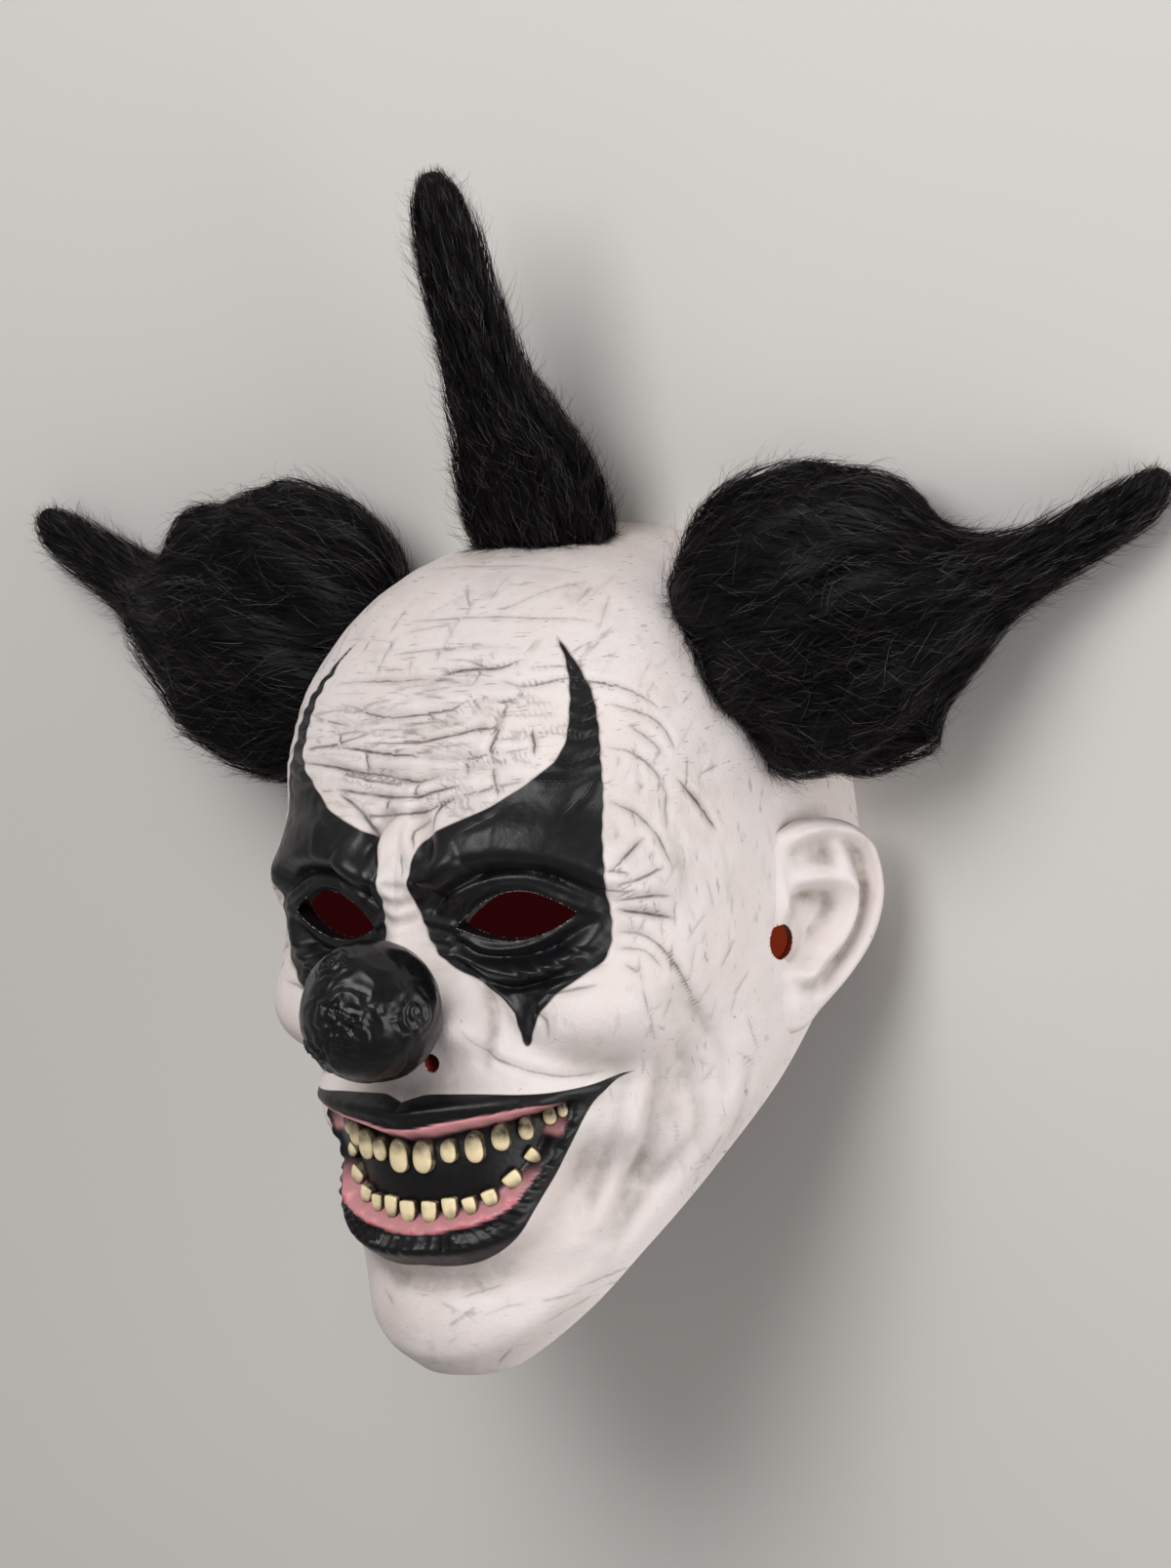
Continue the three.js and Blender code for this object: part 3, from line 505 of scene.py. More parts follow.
def painted_latex(colours):
    """Cast latex, dip-painted: a soft satin skin with grey wash and painted shade in the creases, a painted shade line
    along the fine creases and painted shade in the hollows, black paint brushed on in satin patches that catch a broad
    highlight, and a red-brown unpainted inside."""
    material, tree = new_material("painted_cast_latex")
    place = node(tree, "ShaderNodeTexCoord", outputs="Object")
    value = {name: node(tree, "ShaderNodeAttribute", outputs="Fac", attribute_name=name) for name in SKIN_ATTRIBUTES}
    # Grain sizes in millimetres, each with its detail.
    for name, size, detail in (("pores", 1.3, 4), ("fleck", 1.6, 2), ("leather", 3.2, 6), ("brush", 5, 6),
                               ("breakup", 7, 5), ("specks", 17, 3), ("patches", 26, 2), ("mottle", 38, 3)):
        value[name] = node(tree, "ShaderNodeTexNoise", {"Vector": place, "Scale": per_mm(size), "Detail": detail,
                                                        "Roughness": 0.6}, "Fac")
    # Smudges run down the face, so their noise is stretched along it.
    drawn_out = node(tree, "ShaderNodeMapping", {"Vector": place, "Rotation": (0.2, 0.3, 0.5), "Scale": (1, 0.35, 1)})
    value["smear"] = node(tree, "ShaderNodeTexNoise", {"Vector": drawn_out, "Scale": per_mm(11), "Detail": 6,
                                                       "Roughness": 0.6}, "Fac")
    # Fine scuffs are the peaks of noises stretched about ten times, one across the face and one down it.
    for name, turn, stretch in (("across", 0.25, (0.22, 2.4, 0.6)), ("down", -0.35, (2.4, 0.22, 0.6))):
        brushed = node(tree, "ShaderNodeMapping", {"Vector": place, "Rotation": (0, 0, turn), "Scale": stretch})
        value[name] = node(tree, "ShaderNodeTexNoise", {"Vector": brushed, "Scale": per_mm(2.2), "Detail": 3,
                                                        "Roughness": 0.55}, "Fac")
    # A crease's line, a painted shade along its bottom, is drawn where the signed distance to it, stored as 0 to 4,
    # passes 2.
    beside = node(tree, "ShaderNodeMath", {0: value["creased"], 1: 2.0}, operation="SUBTRACT")
    value["from_line"] = node(tree, "ShaderNodeMath", {0: beside}, operation="ABSOLUTE")
    for name, source, low, high, to_low, to_high in (
            ("on_line", "from_line", 0.2, 0.62, 1, 0), ("shadow", "wash_and_shade", 0, 1, 0, 0.42), ("drawn", "wash_and_shade", 0.03, 0.6, 0, 1),
            ("close", "near_line", 0.22, 0.42, 0, 1),
            ("scuffs_across", "across", 0.62, 0.7, 0, 0.5), ("scuffs_down", "down", 0.64, 0.74, 0, 0.5),
            ("warm", "mottle", 0.42, 0.68, 0, 0.55), ("smears", "smear", 0.56, 0.72, 0, 1),
            ("smeared", "patches", 0.44, 0.6, 0, 0.45), ("flecks", "fleck", 0.69, 0.74, 0, 0.75),
            ("specked", "specks", 0.52, 0.62, 0, 1), ("patchy", "breakup", 0.3, 0.7, 0.25, 1),
            ("uneven", "breakup", 0.3, 0.62, 0.45, 1), ("thin", "brush", 0.5, 0.8, 0, 0.2),
            ("edge", "eye_paint", 1.45, 1.9, 0, 0.45), ("eye", "eye_paint", 1.85, 2.15, 0, 1),
            ("lips", "lip_paint", 1.85, 2.15, 0, 1), ("skin_gloss", "breakup", 0.3, 0.7, 0.46, 0.6),
            ("paint_gloss", "breakup", 0.3, 0.7, 0.3, 0.44)):
        value[name] = node(tree, "ShaderNodeMapRange", {"Value": value[source], "From Min": low, "From Max": high,
                                                        "To Min": to_low, "To Max": to_high}, "Result")
    for name, a, b in (("smudge", "smears", "smeared"), ("flecked", "flecks", "specked"), ("dirt_and_shade", "grime", "patchy"),
                       ("wash_and_shade_layer", "shadow", "uneven"), ("sharp", "on_line", "close"), ("groove", "sharp", "drawn"),
                       ("shadow_line", "groove", "uneven"),
                       ("lined", "scuffs_across", "wrinkled"), ("streaked", "scuffs_down", "cheeks"),
                       ("eye_thin", "eye", "thin"), ("lips_thin", "lips", "thin")):
        value[name] = node(tree, "ShaderNodeMath", {0: value[a], 1: value[b]}, operation="MULTIPLY", use_clamp=True)
    # Layers: warm patches, dirt smudges and flecks, painted shade in the hollows, scuffs, grey wash with painted shade
    # along the creases, a painted shade line in the fine creases, then the paints and the lining.
    painted = rgba(colours.skin)
    for over, factor in ((colours.skin_warm, "warm"), (colours.dirt_and_shade, "smudge"), (colours.dirt_and_shade, "flecked"),
                         (colours.dirt_and_shade, "dirt_and_shade"), (colours.wash_and_shade, "lined"), (colours.wash_and_shade, "streaked"),
                         (colours.wash_and_shade, "wash_and_shade_layer"), (colours.crease_shade, "shadow_line"), (colours.paint_edge, "edge"),
                         (colours.black, "eye"), (colours.thin_black, "eye_thin"), (colours.lip, "lips"),
                         (colours.thin_black, "lips_thin"), (colours.gum, "gum"), (colours.gum_edge, "gum_edge"),
                         (colours.lining, "lining")):
        painted = node(tree, "ShaderNodeMix", {0: value[factor], 6: painted, 7: rgba(over)}, 2, data_type="RGBA")
    paint = node(tree, "ShaderNodeMath", {0: value["eye"], 1: value["lips"]}, operation="MAXIMUM")
    gloss, grain = [node(tree, "ShaderNodeMix", {0: paint, 2: value[a], 3: value[b]}, 0)
                    for a, b in (("skin_gloss", "paint_gloss"), ("pores", "leather"))]
    height = node(tree, "ShaderNodeMath", {0: grain, 1: value["groove"]}, operation="SUBTRACT")
    bump = node(tree, "ShaderNodeBump", {"Strength": 0.45, "Distance": 0.45 * MM, "Height": height})
    shader = node(tree, "ShaderNodeBsdfPrincipled", {
        "Base Color": painted, "Roughness": gloss, "Normal": bump, "IOR": 1.42,
        "Subsurface Weight": 0.06, "Subsurface Scale": 2 * MM, "Subsurface Radius": (1.0, 0.6, 0.45)})
    finish_material(tree, shader)
    return material


def hole_peg(ends, radius, sides):
    """Points and faces of a straight round peg, ringed every millimetre so that its walls keep their paint."""
    a, b = np.asarray(ends, float)
    reach = np.linalg.norm(b - a)
    along = (b - a) / reach
    side = np.cross(along, FORWARD if abs(along[2]) < 0.9 else (1.0, 0, 0))
    side /= np.linalg.norm(side)
    other = np.cross(along, side)
    turn = -np.arange(sides) / sides * 2 * math.pi
    ring = (np.outer(np.cos(turn), side) + np.outer(np.sin(turn), other)) * radius
    return stacked_rings(a, [a + along * s + ring for s in np.linspace(0, reach, int(reach) + 1)], b)


def stacked_rings(first, rings, last):
    """Points and faces of a closed form from rings of points and its two end points."""
    count = len(rings[0])
    points = np.vstack([[first], *rings, [last]])
    tail = 1 + (len(rings) - 1) * count + np.arange(count)
    return points, ring_faces(len(rings), count, 0, 1) + cap_fan(tail, len(points) - 1)


def eye_peg(side):
    """Points and faces of the almond cut straight through at one eye, ringed every millimetre."""
    steps = 30
    fullness = 0.85
    top, foot = 150, 70
    t = np.arange(steps) / steps
    (x0, y0), (x1, y1) = EYE_INNER, EYE_OUTER
    bulge = np.sin(math.pi * t) ** fullness
    below = np.column_stack([x0 + (x1 - x0) * t, y0 + (y1 - y0) * t - EYE_DROP * bulge])
    above = np.column_stack([x0 + (x1 - x0) * t, y0 + (y1 - y0) * t + EYE_RISE * bulge])
    outline = (np.vstack([below, [EYE_OUTER], above[:0:-1]]) * (side, 1))[::side]
    rings = [np.column_stack([outline, np.full(len(outline), z)]) for z in np.arange(top, foot - 1, -1.0)]
    return stacked_rings(rings[0].mean(0), rings, rings[-1].mean(0))


SKIN_ATTRIBUTES = ("eye_paint", "lip_paint", "gum", "gum_edge", "wash_and_shade", "creased", "near_line", "grime", "wrinkled",
                   "cheeks", "lining")


def fill_attributes(piece, **values):
    """Stores every skin attribute, nought where none is given, and marks the points as known."""
    count = len(piece.data.vertices)
    for name in SKIN_ATTRIBUTES:
        store(piece, name, np.broadcast_to(values.get(name, 0.0), count))
    store(piece, "known", np.ones(count))


def cut(piece, cutter, operation):
    """Joins or cuts a piece with another, which is then deleted."""
    modifier = piece.modifiers.new("cut", "BOOLEAN")
    modifier.operation = operation
    modifier.solver = "MANIFOLD"
    modifier.object = cutter
    graph = bpy.context.evaluated_depsgraph_get()
    made = bpy.data.meshes.new_from_object(piece.evaluated_get(graph))
    piece.modifiers.clear()
    old = piece.data
    piece.data = made
    bpy.data.meshes.remove(old)
    bpy.data.objects.remove(cutter)
    if not len(made.polygons):
        raise RuntimeError(f"{piece.name} has no faces left after {operation.lower()}")


def heal_attributes(piece):
    """Gives points on a cut's edge the mean of their neighbours' values."""
    mesh = piece.data
    count = len(mesh.vertices)
    edges = np.zeros(len(mesh.edges) * 2, np.int64)
    mesh.edges.foreach_get("vertices", edges)
    a, b = edges.reshape(-1, 2).T
    known = np.zeros(count, np.float32)
    mesh.attributes["known"].data.foreach_get("value", known)
    known = known > 0.5
    for name in SKIN_ATTRIBUTES:
        values = np.zeros(count, np.float32)
        mesh.attributes[name].data.foreach_get("value", values)
        total = np.bincount(a, values[b] * known[b], count) + np.bincount(b, values[a] * known[a], count)
        number = np.bincount(a, known[b], count) + np.bincount(b, known[a], count)
        values = np.where(known | (number == 0), values, total / np.maximum(number, 1))
        mesh.attributes[name].data.foreach_set("value", values.astype(np.float32))
    mesh.attributes.remove(mesh.attributes["known"])


# Creases of the forehead, seen from the front, each with its strength.
FOREHEAD_LINES = [
    ([(-17, 75), (4, 76.5), (27, 76)], 0.35), ([(3, 70), (13, 71.5), (23, 71), (29, 73)], 0.9),
    ([(-37, 67), (-16, 68.5), (6, 69)], 0.5), ([(25, 68), (33, 66), (43, 67.5), (54, 65), (61, 61), (67, 55)], 0.6),
    ([(-32, 62), (-16, 59.5), (-2, 59), (11, 60.5), (18, 62.5), (29, 62), (32, 65)], 0.8),
    ([(-17, 51), (-1, 52), (11, 53.5), (20, 55.5), (26, 56), (29, 61)], 1.0),
    ([(-45, 49), (-30, 51.5), (-16, 55)], 0.6), ([(-43, 49), (-19, 49.5), (-2, 48.5), (14, 47.5), (27, 48), (40, 48.5)], 0.9),
    ([(-45, 45), (-28, 44.5), (-12, 43), (2, 41), (15, 43.5), (28, 45), (41, 44)], 1.0),
    ([(-27, 43), (-16, 41), (-1, 40)], 0.8), ([(-28, 38), (-17, 37.5), (-1, 36), (9, 38), (19, 40)], 0.9),
    ([(-18, 32), (-9, 31), (7, 32), (15, 35.5), (28, 38), (37, 40)], 0.7),
    ([(-31, 54), (-30, 49)], 0.6), ([(-18, 51), (-16, 40)], 0.6), ([(-7, 37), (-7, 33)], 0.6), ([(3, 40), (3, 35)], 0.6),
    ([(18, 47.5), (19, 43)], 0.6), ([(27, 47), (27, 51), (28, 56)], 0.9), ([(38, 54), (40, 47.5)], 0.9),
    ([(28, 45), (29, 40), (31, 36)], 0.6), ([(29, 61), (26, 56)], 0.7), ([(-26, 37), (-16, 32), (-9, 25), (-6, 15)], 0.9),
    ([(20, 37), (12, 33), (10.5, 26)], 0.7), ([(9, 30), (5, 26), (6, 21.5)], 0.6), ([(1, 20), (3, 15)], 0.6),
    ([(-30, 95), (-3, 97), (34, 93)], 0.25), ([(-16, 84), (3, 84.5), (26, 84), (45, 81)], 0.35), ([(-16, 81), (0, 83)], 0.3),
    ([(9, 95), (9, 88)], 0.25), ([(-11, 86), (1, 92)], 0.25), ([(35, 92), (24, 90), (13, 85)], 0.25),
]
# Creases at the temple and the eye's outer corner, alike on both sides.
TEMPLE_LINES = [
    ([(56, 59), (62, 56), (68, 51), (71.5, 43)], 0.6), ([(58, 47), (64, 44), (69, 37), (70.5, 31)], 0.6),
    ([(62, 52), (67, 47), (70, 42)], 0.5), ([(64, 47), (66, 31)], 0.35), ([(71, 31), (70, 20)], 0.5),
    ([(60, 31), (65, 26), (68, 18), (69.5, 8)], 0.7), ([(73, 33), (75.5, 25), (77, 16.5)], 1.2),
    ([(57, 11), (61, 15), (65.5, 18.5)], 0.8), ([(58, 7), (63, 7.5), (67.5, 8.5)], 0.8), ([(58, 2), (64, 1.5), (68.5, 0)], 0.8),
    ([(58, -1), (64, -4), (68.5, -7)], 0.9), ([(58, -8), (63, -11), (67, -19), (70, -29), (72, -37)], 0.8),
    ([(57, -13), (62, -15), (65, -21)], 0.5), ([(58, -18), (61, -22)], 0.4), ([(19, -33), (24, -41.5), (33, -46.5), (44, -50), (54, -51)], 0.5),
]
# Wide soft valleys of the jaw: the line, half width, depth, and grey wash with painted shade.
JAW_VALLEYS = [
    ([(56.4, -55.4), (52.7, -68.2), (47.9, -82.8), (43.6, -91.4), (40, -98.8)], 2.6, 0.9, 0.4),
    ([(63.6, -46.3), (63.4, -56.8), (59.6, -67.6), (55.9, -82), (51.7, -91.6), (44.9, -102.6)], 3.0, 1.0, 0.5),
    ([(69, -54), (67, -71), (61, -82), (55, -91), (49, -101), (42, -113)], 2.6, 1.0, 0.45),
    ([(67, -21), (70, -32), (73.5, -44), (73, -58), (69, -70)], 2.2, 0.6, 0.3),
    ([(76, -58), (72, -72), (66, -86), (58, -100)], 2.0, 0.7, 0.35),
]
# Creases moulded across the black spike and under the eye, alike on both sides.
PATCH_LINES = [([(x0, y), ((x0 + x1) / 2, y - 1.0), (x1, y + 0.5)], 0.9)
               for x0, y, x1 in ((42.5, 70, 46.5), (45, 65, 50.5), (46.3, 60.5, 53), (47.3, 56, 55), (47.8, 51, 56.5),
                                 (45, 45, 57.5), (40, 40, 58))]
PATCH_LINES += [([(-5, 12), (0, 11), (5, 12)], 0.5), ([(-6, 7), (0, 6), (6, 7)], 0.5), ([(-6, 2), (0, 1), (6, 2)], 0.5)]
PATCH_LINES += [([(33, -22), (42, -20), (54, -17)], 0.7), ([(33, -25), (44, -24), (52, -23)], 0.6),
                ([(36, -29), (40, -32), (40, -38)], 0.5), ([(56, 12), (61, 9)], 0.6), ([(54, 6), (61.5, 4)], 0.6),
                ([(46, 27), (53, 33), (56, 40)], 0.5), ([(22, 26), (30, 30), (36, 34)], 0.5)]


CREASE_WIDTH = 1.25
# Creases at least this wide have no sharp line in them.
SOFT_WIDTH = 1.6
FAR_OFF = 9.0
SCRATCHES = 230
HAIRLINES = 150


def wobbly(line, draw, size):
    """A line in space with small seeded wobbles along it."""
    steps = max(6, int(np.linalg.norm(np.diff(line, axis=0), axis=1).sum() / 3))
    smooth = smooth_line(line, steps)
    swing = np.cumsum(draw.normal(0, size / 3, (len(smooth), 3)), axis=0)
    return smooth + swing - np.linspace(0, 1, len(smooth))[:, None] * swing[-1] * 0.5


def skin_creases(draw):
    """Every crease of the skin in space, as (line, half width, depth, wash and painted shade)."""
    creases = []
    for line, strength in FOREHEAD_LINES:
        creases.append((wobbly(on_face(line), draw, 0.5), CREASE_WIDTH, 0.9 * strength, strength))
    for line, strength in TEMPLE_LINES + PATCH_LINES:
        for side in (1, -1):
            points = on_face(line) * (side, 1, 1)
            creases.append((wobbly(points, draw, 0.4), CREASE_WIDTH, 0.85 * strength, 0.8 * strength))
    for line, width, depth, wash_and_shade in JAW_VALLEYS:
        for side in (1, -1):
            creases.append((wobbly(on_face(line) * (side, 1, 1), draw, 0.3), width, depth, wash_and_shade))
    return creases


def scratches(draw, number):
    """Short thin scuffs scattered over the cheeks, temples, jaw and chin."""
    found = []
    while len(found) < number:
        x, y = draw.uniform(-78, 78), draw.uniform(-145, 92)
        across = abs(x)
        chin = y < -112
        open_skin = across > 60 or (chin or y > 70) and draw.random() < 0.4
        if not open_skin or across > half_width(y) - 6:
            continue
        lean = draw.normal(0.3 if chin else 1.3, 0.4) * (1 if x > 0 else -1)
        reach = draw.uniform(1.5, 6)
        dx, dy = reach * math.cos(lean) * (0.4 if across > 60 else 1), reach * math.sin(lean)
        line = on_face([(x - dx, y - dy), (x + dx, y + dy)])
        found.append((wobbly(line, draw, 0.5), draw.uniform(0.9, 1.2), 0.08, draw.uniform(0.06, 0.4)))
    return found


def hairlines(draw, number):
    """Fine wrinkles that run across the forehead between the moulded ones."""
    found = []
    for _ in range(number):
        x, y = draw.uniform(-44, 44), 26 + 54 * draw.beta(1.4, 2.0)
        reach, rise = draw.uniform(3, 13), draw.normal(0, 0.12)
        if abs(x) > 26 and y < 44:
            continue
        line = on_face([(x + reach * k, y + reach * k * rise + 0.06 * reach * (1 - k * k)) for k in (-1, 0, 1)])
        found.append((wobbly(line, draw, 0.5), 0.95, 0.12, draw.uniform(0.08, 0.42)))
    return found


def crease_field(points, creases):
    """Depth, and grey wash with painted shade, that the creases leave at each point, and for the line that darkens it
    most, the signed distance to it and how near it is."""
    depth = np.zeros(len(points))
    wash_and_shade = np.zeros(len(points))
    rival = np.zeros(len(points))
    off_line = np.full(len(points), FAR_OFF)
    for line, width, deep, stain_and_shade in creases:
        reach = width * 5
        near = np.flatnonzero(((points > line.min(0) - reach) & (points < line.max(0) + reach)).all(1))
        if not len(near):
            continue
        distance, share = nearest_on_line(points[near], line)
        fade = np.sin(math.pi * np.clip(share, 0.02, 0.98)) ** 0.5
        depth[near] += deep * fade * (bell(distance / width) - 0.35 * bell((distance - 2 * width) / width))
        darkened = stain_and_shade * fade * bell(distance / width)
        segment = np.minimum((share * (len(line) - 1)).astype(int), len(line) - 2)
        ahead = line[segment + 1] - line[segment]
        up = head_normal(line[len(line) // 2][None])
        side = np.where((np.cross(ahead, points[near] - line[segment]) * up).sum(1) < 0, -1, 1)
        stronger = darkened > wash_and_shade[near]
        sharp = side * distance if width < SOFT_WIDTH else FAR_OFF
        off_line[near] = np.where(stronger, sharp, off_line[near])
        rival[near] = np.maximum(rival[near], np.minimum(darkened, wash_and_shade[near]))
        wash_and_shade[near] = np.where(stronger, darkened, wash_and_shade[near])
    # Half-way between two lines neither is near, or the change from one to the other would draw a third.
    alone = smoothstep(1 - rival / np.maximum(wash_and_shade, 1e-6), 0.1, 0.45)
    return depth, wash_and_shade, off_line, bell(off_line / 0.9) * alone


def lip_profile(points):
    """Rounded lips between the mouth's edge and the paint's outer edge, ribbed along the lower lip's inside."""
    to_mouth = -inside_distance(points, MOUTH)
    to_skin = inside_distance(points, LIPS)
    on_lip = (to_mouth > 0) & (to_skin > 0)
    share = np.where(on_lip, to_mouth / np.maximum(to_mouth + to_skin, 1e-6), 0)
    round_lip = np.sin(math.pi * share) ** 0.6
    inner_share = smoothstep(share, 0.02, 0.1) * smoothstep(0.8 - share, 0, 0.3)
    mirrored = np.column_stack([np.abs(points[:, 0]), points[:, 1]])
    lower = smooth_line(LOWER_LIP_OUTER, 60)
    _, along = nearest_on_line(mirrored, lower)
    run = np.linalg.norm(np.diff(lower, axis=0), axis=1).sum()
    ribs = np.abs(np.sin(math.pi * (along - RIB_WIDENING * along ** 2) * run / RIB_PITCH + 0.4 * np.sin(along * 23)))
    ribbed = smoothstep(-points[:, 1], 58, 64) * inner_share
    return np.where(on_lip, 0.5 * round_lip + RIB_HEIGHT * (ribs - 0.6) * ribbed, 0), to_mouth, to_skin


def gum_field(points, to_mouth):
    """How pink each point of the mouth is and how red: bands inside the lips, thinned round each tooth as painted shade
    where tooth meets gum.
    """
    inside = -to_mouth
    x, y = np.abs(points[:, 0]), points[:, 1]
    upper = smoothstep(4.6 - inside, 0, 1.6) * smoothstep(y, -68, -65) * smoothstep(43 - x, 0, 6)
    band = 5.6 - 2.6 * smoothstep(x, 22, 32)
    lower = smoothstep(band - inside, 0, 1.8) * smoothstep(-y, 74, 82)
    pink = np.maximum(upper, lower) * smoothstep(inside, -0.2, 0.3)
    # Painted shade round each tooth: the pink thins where a tooth meets the gum.
    gap = np.zeros(len(points))
    for tx, ty, wide, tall, _ in UPPER_TEETH + LOWER_TEETH:
        off = (np.abs((x - tx) / (wide / 2 + 0.4)) ** 2.4 + np.abs((y - ty) / (tall / 2 + 0.6)) ** 2.4) ** (1 / 2.4)
        gap = np.maximum(gap, smoothstep(1.5 - off, 0, 0.55))
    red = pink * smoothstep(1.2 - inside, 0, 0.8) * smoothstep(-y, 78, 86)
    return pink * (1 - 0.4 * gap), red * (1 - gap)


class CLOWN_MASK_OT_skin(bpy.types.Operator):
    """Makes the latex skin with its ears, holes, creases and paint"""
    bl_idname = "clown_mask.skin"
    bl_label = "Latex skin"

    def execute(self, context):
        sizes = context.scene.mask_sizes
        draw = np.random.default_rng(5)
        material = painted_latex(context.scene.mask_colours)
        skin = outer_skin(sizes, draw, material)
        for side in (1, -1):
            cut(skin, ear_piece(side, material), "UNION")
        cut(skin, hollow_piece(sizes, material), "DIFFERENCE")
        for side in (1, -1):
            eye = add_mesh("eye_cutter", *eye_peg(side), material)
            fill_attributes(eye, eye_paint=4.0)
            cut(skin, eye, "DIFFERENCE")
            for ends, radius, sides in ((NOSTRIL, NOSTRIL_RADIUS, 20), (EAR_HOLE, EAR_HOLE_RADIUS, 28)):
                peg = hole_peg(np.array(ends, float) * (side, 1, 1), radius, sides)
                cutter = add_mesh("hole_cutter", *peg, material)
                fill_attributes(cutter, lining=1.0)
                cut(skin, cutter, "DIFFERENCE")
        neck = [NOSE_CENTRE - (0, 0, 37.5), NOSE_CENTRE - (0, 0, 8)]
        cutter = add_mesh("neck_cutter", *hole_peg(neck, NOSE_NECK_RADIUS, 40), material)
        fill_attributes(cutter, lining=1.0)
        cut(skin, cutter, "DIFFERENCE")
        heal_attributes(skin)
        skin.data.polygons.foreach_set("use_smooth", [True] * len(skin.data.polygons))
        skin.data.set_sharp_from_angle(angle=math.radians(55))
        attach(skin, BODY)
        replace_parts(skin, "mask_shell")
        return {"FINISHED"}


def ring_shares(rings):
    """Rings stand closer together over the face than at the sides."""
    t = np.arange(1, rings + 1) / rings
    return 0.74 * t + 0.26 * t ** 3


def head_grid(spokes, rings):
    shares = ring_shares(rings)
    angles = spoke_angles(spokes)
    directions = spoke(angles[None, :], shares[:, None])
    points = leave_head(HUB, directions)
    return points, head_normal(points), shares


def outer_skin(sizes, draw, material):
    """The painted outside of the head, closed at the back until the hollow is cut."""
    grid, normals, shares = head_grid(sizes.spokes, sizes.rings)
    shape = grid.shape[:2]
    flat = grid.reshape(-1, 3)
    front = flat[:, :2]
    rim = np.repeat(away_from_rim(shares), sizes.spokes)
    lip, to_mouth, to_skin = lip_profile(front)
    coarse = relief(front, sizes.mouth_depth / MM) * rim + fold_height(front, LID_FOLDS) + lip
    creases = skin_creases(draw) + scratches(draw, SCRATCHES) + hairlines(draw, HAIRLINES)
    depth, wash_and_shade, off_line, near_line = crease_field(flat, creases)
    eye = np.maximum(inside_distance(front, PATCH), inside_distance(front * (-1, 1), PATCH))
    pink, red = gum_field(front, to_mouth)
    lumps = np.array([noise.noise(Vector(p) * 0.09) * 0.45 + noise.noise(Vector(p) * 0.31) * 0.14 for p in flat])
    height = coarse - bowl_dent(flat) + (lumps - depth * sizes.crease_depth) * rim * (to_mouth > -1) + 0.6 * pink
    moved = flat + normals.reshape(-1, 3) * height[:, None]
    field = height.reshape(shape)
    # Painted shade in the hollows: darker where the surface lies below the mean height around it.
    hollow_near = np.clip((blur(field, 3) - field) / 0.9, 0, 1).ravel()
    hollow_far = np.clip((blur(field, 10) - field) / 3.5, 0, 1).ravel()
    grime = np.clip(0.55 * hollow_near + 0.4 * hollow_far, 0, 0.75) * rim
    middle = leave_head(HUB, FORWARD)[None]
    middle = middle + FORWARD * relief(middle[:, :2], sizes.mouth_depth / MM)
    points = np.vstack([middle, moved, HUB[None]])
    faces = ring_faces(sizes.rings, sizes.spokes, 0, 1)
    last = 1 + (sizes.rings - 1) * sizes.spokes + np.arange(sizes.spokes)
    skin = add_mesh("mask_skin", points, faces + cap_fan(last, len(points) - 1), material)

    x, y = np.abs(flat[:, 0]), flat[:, 1]
    wrinkled = 0.9 * smoothstep(y, 18, 36) + 0.5 * smoothstep(-y, 106, 120)
    cheeks = 0.9 * smoothstep(x, 54, 64) * smoothstep(70 - y, 0, 30) + 0.5 * smoothstep(-y, 40, 60) * smoothstep(x, 40, 52)
    fields = {"eye_paint": np.clip(eye + 0.12 * np.sin(flat[:, 1] * 1.1) + 2, 0, 4),
              "lip_paint": np.clip(to_skin + 2, 0, 4), "gum": pink, "gum_edge": red,
              "wash_and_shade": np.clip(wash_and_shade, 0, 1), "creased": np.clip(off_line, -2, 2) + 2, "near_line": near_line, "grime": grime, "wrinkled": wrinkled, "cheeks": np.clip(cheeks, 0, 1)}
    fill_attributes(skin, **{name: np.concatenate([values[:1], values, [0]]) for name, values in fields.items()})
    return skin


def hollow_piece(sizes, material):
    """The inside, one wall behind the deepest relief nearby, run out past the rim to be cut away."""
    spokes, rings = 110, 36
    nearby, highest, overrun = 5.0, 6.0, 30.0
    grid, normals, shares = head_grid(spokes, rings)
    front = grid[..., :2].reshape(-1, 2)
    turns = np.arange(6) * math.pi / 3
    steps = np.column_stack([np.cos(turns), np.sin(turns)]) * nearby
    depth = sizes.mouth_depth / MM
    least = np.minimum.reduce([relief(front + step, depth) for step in [(0, 0), *steps]] + [np.full(len(front), highest)])
    inward = least * np.repeat(away_from_rim(shares), spokes) - sizes.wall / MM
    moved = grid.reshape(-1, 3) + normals.reshape(-1, 3) * inward[:, None]
    tilt = JAW_ANGLE * np.maximum(-np.sin(spoke_angles(spokes)), 0)
    away = np.column_stack([np.zeros(spokes), -np.sin(tilt), -np.cos(tilt)])
    beyond = moved[-spokes:] + away * overrun
    middle = leave_head(HUB, FORWARD) - FORWARD * sizes.wall / MM
    behind = HUB + np.array([0, -math.sin(JAW_ANGLE / 2), -math.cos(JAW_ANGLE / 2)]) * overrun * 1.3
    points = np.vstack([middle[None], moved, beyond, behind[None]])
    faces = ring_faces(rings + 1, spokes, 0, 1)
    last = 1 + rings * spokes + np.arange(spokes)
    hollow = add_mesh("hollow_cutter", points, faces + cap_fan(last, len(points) - 1), material)
    fill_attributes(hollow, lining=1.0)
    return hollow


